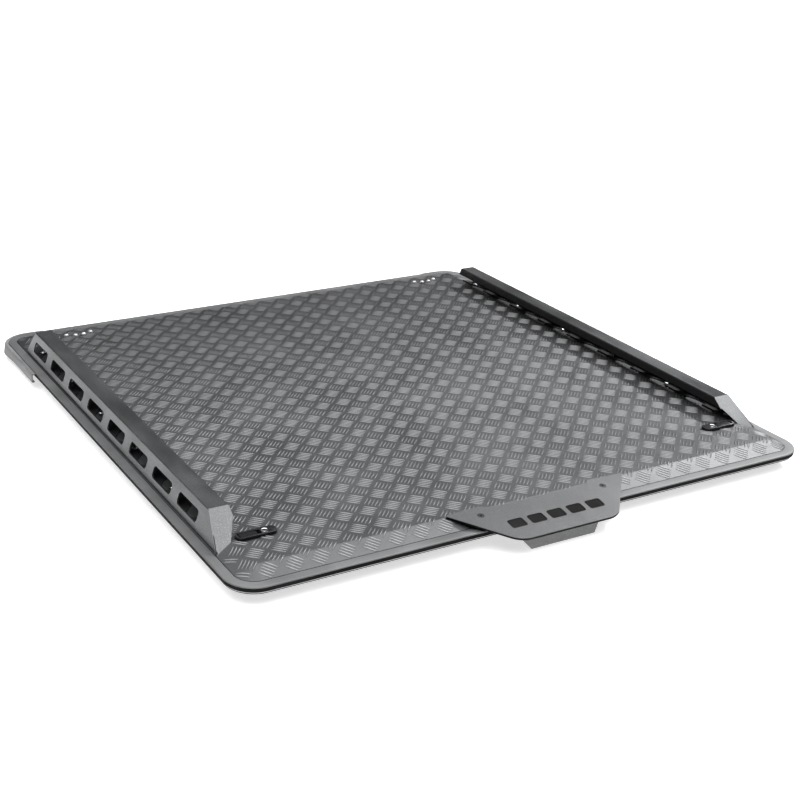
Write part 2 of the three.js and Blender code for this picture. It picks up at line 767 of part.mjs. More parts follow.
function hingeBase() {
  const half = HINGE_EAR_HALF_GAP - 1;
  const knuckle = cylinderX(10, HINGE_X - half, HINGE_X + half, HINGE_PIN_Y, HINGE_PIN_Z);
  const web = box(HINGE_X - half, HINGE_X + half, HINGE_PIN_Y - 7, HINGE_PIN_Y + 7, -56, HINGE_PIN_Z);
  const footprint = roundedRect(HINGE_X - 45, HINGE_X + 45, 700, 765, 8);
  const foot = extrudeZ(footprint, PULL_BOTTOM, PULL_BOTTOM + 6);
  const pinHole = cylinderX(HINGE_PIN_RADIUS + 0.35, HINGE_X - 60, HINGE_X + 60, HINGE_PIN_Y, HINGE_PIN_Z);
  const footHoles = [-34, 34].map((dx) => cylinderZ(4.5, -70, -40, HINGE_X + dx, 722, 10));
  return cut(join(knuckle, web, foot), pinHole, ...footHoles);
}

// A ball stud under each side member, where a gas strut of the vehicle clips on.
function strutStud() {
  const profile = [
    [0, -45],
    [2.6, -44.2],
    [4.5, -42.2],
    [5, -40],
    [4.5, -37.8],
    [2.8, -36],
    [2.8, -31],
    [12, -30],
    [12, MEMBER_BOTTOM - GAP],
    [0, MEMBER_BOTTOM - GAP],
  ];
  return new THREE.LatheGeometry(
    profile.map(([r, z]) => new THREE.Vector2(r, z)),
    12,
  )
    .rotateX(Math.PI / 2)
    .translate(661, 100, 0);
}

// ---- corner boots -------------------------------------------------------------------------------
// A rubber channel that wraps the rim's cab-end corner and ends in an open sleeve along the side.
function cornerBoot() {
  const radius = BASE_RADIUS;
  const corner = [BASE_HALF_WIDTH - radius, BASE_FAR - radius];
  const stations = [];
  for (const t of [0, 0.35, 0.6, 0.8, 0.92]) {
    stations.push({ x: corner[0], y: BOOT_SIDE_END + (corner[1] - BOOT_SIDE_END) * t, angle: 0 });
  }
  for (let i = 0; i <= 6; i += 1) stations.push({ x: corner[0], y: corner[1], angle: (i * Math.PI) / 12 });
  stations.push({ x: BOOT_BACK_END, y: corner[1], angle: Math.PI / 2 });
  const section = [
    [27, -40.5],
    [35, -40.5],
    [35, -19],
    [32, -16],
    [RIM_WIDTH + GAP, -16],
    [RIM_WIDTH + GAP, -19],
    [31, -20],
    [32, -22],
    [32, -37.5],
    [27, -37.5],
  ];
  const flare = stations.map((s) => {
    const along = (s.y - BOOT_FLARE_START) / BOOT_FLARE_RUN;
    const rise = s.angle > 0 ? Math.max(0, 1 - s.angle / 0.9) : Math.min(Math.max(along, 0), 1);
    return BOOT_FLARE * rise * rise * (3 - 2 * rise);
  });
  const positions = [];
  stations.forEach(({ x, y, angle }, i) => {
    for (const [d, z] of section) {
      const bottom = Math.min(Math.max((-24 - z) / 14, 0), 1);
      const reach = radius + d + flare[i] * bottom;
      positions.push(x + reach * Math.cos(angle), y + reach * Math.sin(angle), z);
    }
  });
  const n = section.length;
  const index = [];
  for (let s = 0; s < stations.length - 1; s += 1) {
    for (let i = 0; i < n; i += 1) {
      const a = s * n + i;
      const b = s * n + ((i + 1) % n);
      index.push(a, b, b + n, a, b + n, a + n);
    }
  }
  const flat = section.map(([d, z]) => new THREE.Vector2(d, z));
  const last = (stations.length - 1) * n;
  for (const [i, j, k] of THREE.ShapeUtils.triangulateShape(flat, [])) {
    index.push(i, k, j);
    index.push(last + i, last + j, last + k);
  }
  const geometry = new THREE.BufferGeometry();
  geometry.setAttribute("position", new THREE.Float32BufferAttribute(positions, 3));
  geometry.setIndex(index);
  if (solidOf(geometry).volume() < 0) {
    for (let i = 0; i < index.length; i += 3) [index[i], index[i + 1]] = [index[i + 1], index[i]];
    geometry.setIndex(index);
  }
  return geometry;
}

// ---- assembly -----------------------------------------------------------------------------------
piece("tread_sheet", treadSheet(), treadAluminium);
piece("rim_frame", rimFrame(), millAluminium);
piece("edge_seal", edgeSeal(), blackRubber);
piece("seal_carrier", sealCarrier(), millAluminium);
piece("tub_seal", tubSeal(), blackRubber);
crossMemberStations.forEach((y, i) => piece(`cross_member_${i + 1}`, crossMember(y), millAluminium));
pair("side_member", sideMember(), millAluminium);
pair("corner_boot", cornerBoot(), blackRubber);
pair("cargo_rail", cargoRail(), powderCoat);
const railBolt = buttonHead(7, 4.6, BOLT_RADIUS, -12, RAIL_SHEET + 2 * GAP);
railBoltStations.forEach((y, i) => {
  piece(`rail_bolt_right_${i + 1}`, onBand(railBolt, y), zincSteel);
  piece(`rail_bolt_left_${i + 1}`, mirrored(onBand(railBolt, y)), zincSteel);
});
piece("handle_plate", handlePlate(), powderCoat);
piece("handle_gasket", handleGasket(), blackRubber);
piece("pull_lip", pullLip(), powderCoat);
pair("handle_screw", handleScrew(), blackPlastic);
pair("lock_housing", lockHousing(), blackPlastic);
pair("lock_lever", lockLever(), blackPlastic);
pair("lever_pin", leverPin(), bareSteel);
pair("key_cylinder", keyCylinder(), chromed);
pair("latch_case", latchCase(), bareSteel);
pair("latch_bolt", latchBolt(), bareSteel);
pair("hinge_plate", hingePlate(), bareSteel);
pair("hinge_pin", hingePin(), zincSteel);
pair("hinge_base", hingeBase(), powderCoat);
hingeBoltSpots.forEach(([x, y], i) => {
  const bolt = buttonHead(6.8, 7.5, BOLT_RADIUS, -14, GAP).translate(x, y, 0);
  piece(`hinge_bolt_right_${i + 1}`, bolt, zincSteel);
  piece(`hinge_bolt_left_${i + 1}`, mirrored(bolt), zincSteel);
});
pair("strut_stud", strutStud(), zincSteel);

// Lift the lid so that its lowest face is at z = 0 and its footprint is centred on the origin.
const extent = new THREE.Box3().setFromObject(lid);
const centre = extent.getCenter(new THREE.Vector3());
lid.position.set(-centre.x, -centre.y, -extent.min.z);

export default lid;
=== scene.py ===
# %% [markdown]
# # A load-bed lid for a pickup
# The object is a hard, nearly square lid of five-bar tread plate. A rounded rim and black seals run round it,
# a windowed cargo rail stands along each side, a pull handle sits at the near edge, and two flush locks and
# the heads of the hinge bolts break the deck.
# The solid frame is loaded first. It says where everything is, and each step below gives one piece its looks.

import math

import bmesh
import bpy
import numpy as np
from mathutils import Matrix, Vector


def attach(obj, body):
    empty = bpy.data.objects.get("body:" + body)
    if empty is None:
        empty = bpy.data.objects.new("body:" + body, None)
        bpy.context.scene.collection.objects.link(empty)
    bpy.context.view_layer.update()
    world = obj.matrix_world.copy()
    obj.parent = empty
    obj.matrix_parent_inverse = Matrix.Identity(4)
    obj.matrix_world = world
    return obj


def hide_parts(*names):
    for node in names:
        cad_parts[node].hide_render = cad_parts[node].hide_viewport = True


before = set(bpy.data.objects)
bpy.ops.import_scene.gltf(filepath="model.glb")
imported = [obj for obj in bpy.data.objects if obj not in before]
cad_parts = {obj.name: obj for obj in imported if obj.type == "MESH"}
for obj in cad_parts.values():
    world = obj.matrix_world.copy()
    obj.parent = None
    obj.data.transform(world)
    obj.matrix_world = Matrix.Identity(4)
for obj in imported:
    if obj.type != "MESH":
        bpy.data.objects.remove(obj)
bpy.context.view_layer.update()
scene = bpy.context.scene
scene.view_settings.view_transform = "Standard"

# %% [markdown]
# The pieces are drawn in millimetres with the deck at height zero and the lid's own middle line at x = 0.
# The frame has its origin at the middle of the footprint and counts from the lowest face, so one small shift
# turns a drawn point into a point in the frame.

# %% Drawn millimetres to metres in the frame
FRAME_SHIFT = Vector((0.0, -0.0435, 0.059))


def at(x, y, z):
    return Vector((x, y, z)) * 0.001 + FRAME_SHIFT


# %% [markdown]
# ## Camera
# The lens is a little longer than normal, from the near left corner and well above the deck. A small sideways
# shift frames the lid as a cropped picture would, without turning the camera.

# %% Camera
camera_data = bpy.data.cameras.new("camera")
camera_data.lens = 63.4
camera_data.sensor_width = 36.0
camera_data.shift_x = 0.0925
camera_data.clip_end = 200.0
camera = bpy.data.objects.new("camera", camera_data)
camera.location = (-1.767, -2.887, 1.468)
camera.rotation_euler = [math.radians(a) for a in (66.81, -1.46, -28.52)]
scene.collection.objects.link(camera)
scene.camera = camera
print("camera at", tuple(camera.location))

# %% [markdown]
# ## Floor and light
# A pale floor and a plain world make the studio. The world is bright overhead and dim towards the horizon, as
# under a large ceiling of soft boxes: the level deck and the tops of the rails mirror the dim part, and every
# face that leans towards the front mirrors the bright part. The floor gives off a little light of its own, so
# that it stays pale up to the horizon. One crisp key light from the right and a little behind draws the
# straight shadow of the right rail on the deck, and a soft box on the right brightens that rail's closed end.


# %% Floor, world and lights
def principled(name, colour, metallic=0.0, roughness=0.5):
    material = bpy.data.materials.new(name)
    material.use_nodes = True
    shader = material.node_tree.nodes["Principled BSDF"]
    shader.inputs["Base Color"].default_value = (*colour, 1.0)
    shader.inputs["Metallic"].default_value = metallic
    shader.inputs["Roughness"].default_value = roughness
    return material, shader


floor_material, floor_shader = principled("pale_floor", (0.7, 0.7, 0.7), 0.0, 0.9)
floor_shader.inputs["Emission Color"].default_value = (1.0, 1.0, 1.0, 1.0)
floor_shader.inputs["Emission Strength"].default_value = 0.6
FLOOR_REACH = 40.0
floor_corners = [(u * FLOOR_REACH, v * FLOOR_REACH, 0.0) for u, v in ((-1, -1), (1, -1), (1, 1), (-1, 1))]
floor_mesh = bpy.data.meshes.new("floor")
floor_mesh.from_pydata(floor_corners, [], [(0, 1, 2, 3)])
floor_mesh.materials.append(floor_material)
floor = bpy.data.objects.new("floor", floor_mesh)
scene.collection.objects.link(floor)


def studio_world(horizon, ceiling, low_angle, high_angle):
    """Light by height in the sky. The camera itself sees a white backdrop."""
    world = bpy.data.worlds.new("studio")
    world.use_nodes = True
    tree = world.node_tree
    direction = tree.nodes.new("ShaderNodeTexCoord").outputs["Generated"]
    parts = tree.nodes.new("ShaderNodeSeparateXYZ")
    tree.links.new(direction, parts.inputs[0])
    climb = tree.nodes.new("ShaderNodeMapRange")
    climb.interpolation_type = "SMOOTHSTEP"
    climb.inputs["From Min"].default_value = math.sin(math.radians(low_angle))
    climb.inputs["From Max"].default_value = math.sin(math.radians(high_angle))
    climb.inputs["To Min"].default_value = horizon
    climb.inputs["To Max"].default_value = ceiling
    tree.links.new(parts.outputs["Z"], climb.inputs["Value"])
    backdrop = tree.nodes.new("ShaderNodeMath")
    backdrop.operation = "MAXIMUM"
    tree.links.new(climb.outputs["Result"], backdrop.inputs[0])
    tree.links.new(tree.nodes.new("ShaderNodeLightPath").outputs["Is Camera Ray"], backdrop.inputs[1])
    background = tree.nodes["Background"]
    background.inputs["Color"].default_value = (1.0, 1.0, 1.0, 1.0)
    tree.links.new(backdrop.outputs[0], background.inputs["Strength"])
    scene.world = world


def studio_light(name, kind, power, place, target):
    data = bpy.data.lights.new(name, kind)
    data.energy = power
    light = bpy.data.objects.new(name, data)
    light.location = place
    light.rotation_euler = (Vector(target) - Vector(place)).to_track_quat("-Z", "Y").to_euler()
    scene.collection.objects.link(light)
    return data


studio_world(horizon=0.1, ceiling=3.7, low_angle=35, high_angle=63)
studio_light("key", "SUN", 2.5, (2.139, 0.981, 1.86), (0, 0, 0)).angle = math.radians(1.0)
studio_light("soft_box", "AREA", 34.0, (3.44, -1.24, 2.93), (0.7, -0.56, 0.1)).size = 1.6
print("studio ready")

# %% [markdown]
# ## Finishes
# Every finish is built from noise on object coordinates, so it has real scale in metres and stays put when a
# piece moves. One helper makes all the noise: a slow blotch that shifts the colour, a streak that is noise
# stretched along one axis, and a fine grain for the bump.


# %% Helpers for node materials
def link(tree, out, into):
    tree.links.new(out, into)


def noise(tree, coordinates, scale, detail=4.0, stretch=(1, 1, 1), turn=0.0):
    mapping = tree.nodes.new("ShaderNodeMapping")
    mapping.inputs["Scale"].default_value = stretch
    mapping.inputs["Rotation"].default_value = (0, 0, math.radians(turn))
    link(tree, coordinates, mapping.inputs["Vector"])
    texture = tree.nodes.new("ShaderNodeTexNoise")
    texture.inputs["Scale"].default_value = scale
    texture.inputs["Detail"].default_value = detail
    link(tree, mapping.outputs["Vector"], texture.inputs["Vector"])
    return texture.outputs["Fac"]


def ramp(tree, value, low, high, start=0.35, end=0.65):
    node = tree.nodes.new("ShaderNodeMapRange")
    node.inputs["From Min"].default_value = start
    node.inputs["From Max"].default_value = end
    node.inputs["To Min"].default_value = low
    node.inputs["To Max"].default_value = high
    link(tree, value, node.inputs["Value"])
    return node.outputs["Result"]


def blend_colours(tree, factor, first, second):
    node = tree.nodes.new("ShaderNodeMix")
    node.data_type = "RGBA"
    link(tree, factor, node.inputs["Factor"])
    for socket, value in ((node.inputs["A"], first), (node.inputs["B"], second)):
        if isinstance(value, tuple):
            socket.default_value = (*value, 1.0)
        else:
            link(tree, value, socket)
    return node.outputs["Result"]


def operation_node(tree, kind, operation, values):
    node = tree.nodes.new(kind)
    node.operation = operation
    for socket, value in zip(node.inputs, values):
        if isinstance(value, (int, float, tuple)):
            socket.default_value = value
        else:
            link(tree, value, socket)
    return node


def math_node(tree, operation, *values):
    return operation_node(tree, "ShaderNodeMath", operation, values).outputs[0]


def add_values(tree, first, second, weight):
    return math_node(tree, "MULTIPLY_ADD", second, weight, first)


def bump(tree, height, strength, distance, shader):
    node = tree.nodes.new("ShaderNodeBump")
    node.inputs["Strength"].default_value = strength
    node.inputs["Distance"].default_value = distance
    link(tree, height, node.inputs["Height"])
    link(tree, node.outputs["Normal"], shader.inputs["Normal"])


def object_coordinates(material):
    return material.node_tree.nodes.new("ShaderNodeTexCoord").outputs["Object"]


# %% [markdown]
# ### Rolled aluminium
# The deck is rolled sheet: dull, with streaks along the rolling direction, thin scratches across them and
# blotches where it was handled. Its colour is darker towards the cab end, a painted shade. The bars stand
# proud, and one set has a lighter colour than the other: painted light and painted shade, since the two
# directions catch the light differently. The rim is smoother.
# Metal shows mostly what it mirrors, so the variation goes into roughness as much as into colour.


# %% Aluminium finishes
def rolled_aluminium(name, dark, light, metallic, roughness, streak_turn, bump_strength, colour_kept_at_cab=1.0):
    material, shader = principled(name, light, metallic, roughness[1])
    tree = material.node_tree
    coordinates = object_coordinates(material)
    blotch = noise(tree, coordinates, 7.0, 6.0)
    streak = noise(tree, coordinates, 26.0, 5.0, (0.35, 12.0, 1.0), streak_turn)
    scratch = noise(tree, coordinates, 30.0, 3.0, (24.0, 0.6, 1.0), streak_turn + 34.0)
    grain = noise(tree, coordinates, 900.0, 2.0)
    mixed = add_values(tree, ramp(tree, blotch, 0.0, 0.5), streak, 0.55)
    colour = blend_colours(tree, mixed, dark, light)
    fine = ramp(tree, scratch, 0.0, 1.0, 0.62, 0.72)
    scratched = tuple(min(1.0, c * 1.5) for c in light)
    wear_and_cab_shade = blend_colours(tree, ramp(tree, fine, 0.0, 0.35, 0.0, 1.0), colour, scratched)
    parts = tree.nodes.new("ShaderNodeSeparateXYZ")
    link(tree, coordinates, parts.inputs[0])
    # Painted shade: the colour is blended towards near-black towards the cab end, for the dimmer light there.
    painted_cab_shade = ramp(tree, parts.outputs["Y"], 1.0 - colour_kept_at_cab, 0.0, 0.7, -0.1)
    wear_and_cab_shade = blend_colours(tree, painted_cab_shade, wear_and_cab_shade, (0.012, 0.012, 0.013))
    link(tree, wear_and_cab_shade, shader.inputs["Base Color"])
    link(tree, add_values(tree, ramp(tree, blotch, *roughness), streak, 0.08), shader.inputs["Roughness"])
    height = add_values(tree, add_values(tree, grain, streak, 0.8), fine, -0.5)
    bump(tree, height, bump_strength, 0.0003, shader)
    return material


# The deck and both sets of bars get the painted shade towards the cab end; the other finishes stay even.
DECK = rolled_aluminium(
    "deck_aluminium", (0.052, 0.0535, 0.055), (0.086, 0.088, 0.09), 0.8, (0.41, 0.5), 0.0, 0.35, colour_kept_at_cab=0.45
)
# Painted light and shade: the falling bars get a lighter colour and the rising bars a darker one, for how the
# two directions catch the light.
PAINTED_LIT_BARS = rolled_aluminium(
    "painted_lit_bars", (0.165, 0.168, 0.171), (0.235, 0.239, 0.243), 0.75, (0.46, 0.58), 20.0, 0.3, colour_kept_at_cab=0.5
)
PAINTED_SHADE_BARS = rolled_aluminium(
    "painted_shade_bars", (0.09, 0.092, 0.094), (0.13, 0.132, 0.135), 0.85, (0.36, 0.46), 20.0, 0.3, colour_kept_at_cab=0.5
)
RIM = rolled_aluminium(
    "rim_aluminium", (0.085, 0.087, 0.089), (0.155, 0.157, 0.159), 0.55, (0.4, 0.52), 90.0, 0.2
)
MILL = rolled_aluminium(
    "mill_aluminium", (0.32, 0.324, 0.328), (0.45, 0.453, 0.456), 0.85, (0.38, 0.5), 0.0, 0.25
)
print("aluminium finishes:", DECK.name, PAINTED_LIT_BARS.name, PAINTED_SHADE_BARS.name, RIM.name, MILL.name)

# %% [markdown]
# ### Powder coat
# The rails, the handle and the hinge feet are painted with a fine-textured matte powder. Under a lens it is
# a field of tiny rounded bumps with a few lighter specks, and where hands and straps rub, it turns glossier.


# %% Powder coat finish
def powder_coat(name, dark, light, roughness, metallic=0.0, specks=0.35, sheen=0.4):
    material, shader = principled(name, light, metallic, roughness)
    tree = material.node_tree
    coordinates = object_coordinates(material)
    grain = noise(tree, coordinates, 1100.0, 2.0)
    speck = noise(tree, coordinates, 520.0, 1.0)
    rub = noise(tree, coordinates, 14.0, 5.0, (1.0, 0.35, 1.0))
    colour = blend_colours(tree, ramp(tree, grain, 0.0, 1.0), dark, light)
    bright = tuple(min(1.0, c * 2.4) for c in light)
    colour = blend_colours(tree, ramp(tree, speck, 0.0, specks, 0.6, 0.72), colour, bright)
    link(tree, colour, shader.inputs["Base Color"])
    link(tree, ramp(tree, rub, roughness - 0.08, roughness + 0.06), shader.inputs["Roughness"])
    shader.inputs["Specular IOR Level"].default_value = sheen
    bump(tree, add_values(tree, grain, speck, 0.5), 0.45, 0.0004, shader)
    return material


RAIL_COAT = powder_coat("rail_coat", (0.085, 0.087, 0.089), (0.135, 0.138, 0.141), 0.38, 0.95)
HANDLE_COAT = powder_coat("handle_coat", (0.045, 0.046, 0.047), (0.07, 0.071, 0.073), 0.46, 0.85)
PULL_COAT = powder_coat("pull_coat", (0.32, 0.323, 0.327), (0.44, 0.443, 0.447), 0.5, 0.4)
# Near-black painted shade for the faces inside the rails' channel and on the flange, which lie in shade.
CHANNEL_SHADE_COAT = powder_coat("painted_channel_shade", (0.008, 0.008, 0.009), (0.016, 0.016, 0.017), 0.6, 0.0, 0.2, 0.15)
FOOT_COAT = powder_coat("foot_coat", (0.04, 0.041, 0.042), (0.06, 0.061, 0.062), 0.6)
print("powder coats ready")

# %% [markdown]
# ### Rubber, plastic and plated steel
# Moulded rubber is matte and slightly dusty. The lock bodies are satin black plastic with a fine leather-like
# skin. The bolts are zinc plated with faint turning marks, the keys are polished, the hidden brackets plain.


# %% Rubber, plastic and steel finishes
def moulded(name, dark, light, roughness, grain_scale, bump_strength, sheen=0.5):
    material, shader = principled(name, light, 0.0, roughness)
    shader.inputs["Specular IOR Level"].default_value = sheen
    tree = material.node_tree
    coordinates = object_coordinates(material)
    grain = noise(tree, coordinates, grain_scale, 3.0)
    dust = noise(tree, coordinates, 11.0, 6.0)
    colour = blend_colours(tree, ramp(tree, dust, 0.0, 1.0, 0.4, 0.75), dark, light)
    link(tree, colour, shader.inputs["Base Color"])
    link(tree, ramp(tree, grain, roughness - 0.07, roughness + 0.07), shader.inputs["Roughness"])
    bump(tree, grain, bump_strength, 0.0003, shader)
    return material


def steel(name, dark, light, roughness, stretch=(1, 1, 1)):
    material, shader = principled(name, light, 1.0, roughness)
    tree = material.node_tree
    coordinates = object_coordinates(material)
    marks = noise(tree, coordinates, 420.0, 3.0, stretch)
    stain = noise(tree, coordinates, 60.0, 5.0)
    colour = blend_colours(tree, ramp(tree, stain, 0.0, 1.0), dark, light)
    link(tree, colour, shader.inputs["Base Color"])
    link(tree, ramp(tree, stain, roughness - 0.06, roughness + 0.1), shader.inputs["Roughness"])
    bump(tree, marks, 0.12, 0.0002, shader)
    return material


SEAL_RUBBER = moulded("seal_rubber", (0.003, 0.003, 0.003), (0.009, 0.009, 0.01), 0.8, 700.0, 0.3, 0.1)
BOOT_RUBBER = moulded("boot_rubber", (0.10, 0.101, 0.103), (0.15, 0.151, 0.153), 0.6, 600.0, 0.35)
LOCK_PLASTIC = moulded("lock_plastic", (0.006, 0.006, 0.007), (0.014, 0.014, 0.015), 0.3, 1500.0, 0.2, 0.3)
ZINC = steel("zinc_plate", (0.5, 0.51, 0.52), (0.72, 0.73, 0.74), 0.3, (1, 1, 6))
PLAIN_STEEL = steel("plain_steel", (0.3, 0.305, 0.31), (0.44, 0.445, 0.45), 0.42, (5, 1, 1))
POLISHED = steel("polished_key", (0.7, 0.71, 0.72), (0.85, 0.86, 0.87), 0.16)
print("rubber, plastic and steel ready")

# %% [markdown]
# ## Mesh helpers
# A mesh is made from points and faces, its doubles are merged, its faces are turned outwards, and edges
# sharper than a given angle stay crisp while the rest shade smoothly. A narrow bevel then rounds the crisp
# edges, because no real edge is sharp enough to have no highlight, and the flat faces keep their own normals.
# Most shapes are rings of points joined by bands of quads, so the points of an arc and the faces between two
# rings each have one helper.


# %% Build, bevel and cut meshes
def mesh_object(name, points, faces, material=None, shift=True):
    mesh = bpy.data.meshes.new(name)
    mesh.from_pydata([at(*p) for p in points] if shift else points, [], faces)
    shell = bmesh.new()
    shell.from_mesh(mesh)
    bmesh.ops.remove_doubles(shell, verts=shell.verts, dist=1e-6)
    bmesh.ops.recalc_face_normals(shell, faces=shell.faces)
    shell.to_mesh(mesh)
    shell.free()
    if material:
        mesh.materials.append(material)
    piece = bpy.data.objects.new(name, mesh)
    scene.collection.objects.link(piece)
    return piece


def applied(piece):
    evaluated = piece.evaluated_get(bpy.context.evaluated_depsgraph_get())
    plain = bpy.data.meshes.new_from_object(evaluated)
    piece.modifiers.clear()
    piece.data = plain
    return piece


def shade(piece, angle=32.0):
    piece.data.shade_smooth()
    piece.data.set_sharp_from_angle(angle=math.radians(angle))
    return piece


def eased(piece, width, segments=2, angle=30.0, sharp=32.0):
    shell = bmesh.new()
    shell.from_mesh(piece.data)
    bmesh.ops.remove_doubles(shell, verts=shell.verts, dist=2e-6)
    bmesh.ops.dissolve_limit(shell, angle_limit=math.radians(0.6), verts=shell.verts, edges=shell.edges)
    shell.to_mesh(piece.data)
    shell.free()
    bevel = piece.modifiers.new("eased edges", "BEVEL")
    bevel.width = width * 0.001
    bevel.segments = segments
    bevel.limit_method = "ANGLE"
    bevel.angle_limit = math.radians(angle)
    shade(applied(piece), sharp)
    weighted = piece.modifiers.new("flat faces stay flat", "WEIGHTED_NORMAL")
    weighted.keep_sharp = True
    return applied(piece)


def combined(piece, operation, tools):
    for tool in tools:
        step = piece.modifiers.new("cut", "BOOLEAN")
        step.operation = operation
        step.solver = "EXACT"
        step.object = tool
        applied(piece)
        bpy.data.objects.remove(tool)
    return piece


# %% Arcs, rings and prisms
def arc(u, v, radius, start, end, steps, stretch=1.0):
    """Points on an arc, both ends included. The angles are in degrees; stretch makes it taller or flatter."""
    angles = [math.radians(start + (end - start) * i / steps) for i in range(steps + 1)]
    return [(u + radius * math.cos(a), v + radius * stretch * math.sin(a)) for a in angles]


def circle(u, v, radius, sides):
    return arc(u, v, radius, 0, 360, sides)[:-1]


def bands(rings, around, closed=False):
    """Quads between rings of points that follow each other in one list."""
    return [
        (r * around + i, r * around + j, (r + 1) % rings * around + j, (r + 1) % rings * around + i)
        for r in range(rings if closed else rings - 1)
        for i, j in zip(range(around), [*range(1, around), 0])
    ]


def end_caps(rings, around):
    return [tuple(range(around)), tuple(range((rings - 1) * around, rings * around))]


def prism(name, outline, axis, low, high, material=None):
    """An outline swept along one axis. The outline's pairs are the other two axes in x, y, z order."""
    place = "xyz".index(axis)
    points = [(*pair[:place], height, *pair[place:]) for height in (low, high) for pair in outline]
    n = len(outline)
    return mesh_object(name, points, end_caps(2, n) + bands(2, n), material)


def rounded_rectangle(u0, u1, v0, v1, radius, steps=8):
    left, right, low, high = u0 + radius, u1 - radius, v0 + radius, v1 - radius
    corners = ((right, low, -90), (right, high, 0), (left, high, 90), (left, low, 180))
    return [p for u, v, start in corners for p in arc(u, v, radius, start, start + 90, steps)]


def other_side(piece, name):
    """The piece again on the left side of the lid, with its faces turned the right way round."""
    mesh = piece.data.copy()
    mesh.transform(Matrix.Scale(-1, 4, (1, 0, 0)))
    mesh.flip_normals()
    twin = bpy.data.objects.new(name, mesh)
    scene.collection.objects.link(twin)
    return twin


def fitted(piece, body, slot, *nodes):
    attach(piece, body)
    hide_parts(*nodes)
    print(piece.name, len(piece.data.polygons), "faces")


# %% [markdown]
# ## Rim, seals and deck
# The rim, the seals and the sheet's edge all follow one rounded rectangle at different offsets. Each is a
# cross-section carried round that outline, so one function makes them all. The corners get twenty-four steps
# each, because the near corners are large in the view and a flat spot there would show.

# %% Outline of the lid
HALF_WIDTH, NEAR, FAR, CORNER = 736.0, -682.0, 822.0, 45.0
BAND_RUN, BAND_DROP = 42.0, 13.5
CORNER_STEPS = 24


LOOP_POINTS = 4 * (CORNER_STEPS + 1)


def lid_loops(section):
    """One loop of points round the lid for each offset and height of a section."""
    points = []
    for offset, z in section:
        side = HALF_WIDTH + offset
        outline = rounded_rectangle(-side, side, NEAR - offset, FAR + offset, CORNER + offset, CORNER_STEPS)
        points += [(x, y, z) for x, y in outline]
    return points


def carried_round(name, section, material):
    return mesh_object(name, lid_loops(section), bands(len(section), LOOP_POINTS, closed=True), material)


def band_height(offset):
    return -BAND_DROP * min(max(offset + BAND_RUN, 0.0), BAND_RUN) / BAND_RUN


# %% Rim and seals
DECK_SHEET, RIM_SHEET, RIM_GAP = 2.5, 3.0, 0.4
RIM_TOP, RIM_WIDTH, RIM_ROUNDING, RIM_TUCK = -14.0, 24.0, 2.5, -20.0
RIM_BOTTOM = RIM_TOP - RIM_SHEET


def under_deck(offset):
    return band_height(offset) - DECK_SHEET - RIM_GAP


rim_section = [(RIM_TUCK, under_deck(RIM_TUCK) - RIM_SHEET), (0, under_deck(0) - RIM_SHEET)]
rim_section += [(3, RIM_BOTTOM), (RIM_WIDTH - 0.3, RIM_BOTTOM), (RIM_WIDTH, RIM_BOTTOM + 0.3)]
rim_section += arc(RIM_WIDTH - RIM_ROUNDING, RIM_TOP - RIM_ROUNDING, RIM_ROUNDING, 0, 90, 6)
rim_section += [(1.2, RIM_TOP), (RIM_GAP, RIM_TOP - 0.8), (RIM_GAP, under_deck(0))]
rim_section += [(RIM_TUCK, under_deck(RIM_TUCK))]
edge_section = [(6, -25.6), (22.5, -25.6), (23.6, -24.9), (24, -23.5)]
edge_section += [(24, -18.5), (23.8, -17.8), (23, -17.4), (6, -17.4)]
carrier_section = [(-18, -27.8), (22.6, -27.8), (23, -27.4), (23, -26.4), (22.6, -26), (-18, -26)]
tub_section = [(4, -31.5), (18, -31.5), (20.2, -31.1), (21, -30.1), (20.6, -28.8), (20, -28.2), (4, -28.2)]
for name, section, finish, slot, node in (
    ("rim", rim_section, RIM, "mill_aluminium", "rim_frame"),
    ("edge_rubber", edge_section, SEAL_RUBBER, "rubber", "edge_seal"),
    ("seal_strip", carrier_section, MILL, "mill_aluminium", "seal_carrier"),
    ("tub_rubber", tub_section, SEAL_RUBBER, "rubber", "tub_seal"),
):
    fitted(shade(carried_round(name, section, finish), 40), "lid", slot, node)

# %% [markdown]
# The deck is one sheet with its four edges bent down. The bends are not knife sharp: three extra loops round
# each one, and that is what draws the thin bright line along the far edge. The openings for the two locks are
# cut with a boolean, because they are the only places where the sheet's thickness can be seen.

# %% Deck sheet
LOCK_Y, LOCK_IN, LOCK_OUT, LOCK_TOP = -531.0, 588.0, 681.0, 7.0
sheet_top = [(-44.5, 0.0), (-42.8, -0.07), (-41.2, -0.42), (-39.5, band_height(-39.5)), (0, -BAND_DROP)]
sheet_bottom = [(0, -BAND_DROP - DECK_SHEET), (-41.5, -2.7), (-44.5, -DECK_SHEET)]
sheet = sheet_top + sheet_bottom
sheet_faces = bands(len(sheet), LOOP_POINTS) + end_caps(len(sheet), LOOP_POINTS)
deck = mesh_object("deck", lid_loops(sheet), sheet_faces, DECK)
lock_openings = [
    prism("lock_opening", rounded_rectangle(*span, LOCK_Y - 11.4, LOCK_Y + 11.4, 2.4), "z", -12, 9)
    for span in ((LOCK_IN + 4.6, LOCK_OUT - 3.6), (3.6 - LOCK_OUT, -4.6 - LOCK_IN))
]
combined(deck, "DIFFERENCE", lock_openings)
fitted(shade(deck, 30), "lid", "tread_plate", "tread_sheet")

# %% [markdown]
# ## Tread bars
# The plate carries groups of five raised bars. The groups sit on a square grid of 60 mm, a second set in the
# middles of the squares is turned a quarter round, and each bar is a long lens with pointed ends.
# That is a rule, so Geometry Nodes makes it: a grid of points, a short row of five points on each, and a bar
# on every point. A ray straight up tests each point against flat plates over the rails, the locks and the
# handle, and bars under those are left out. Last, the points of every bar are lowered onto the bent edges.

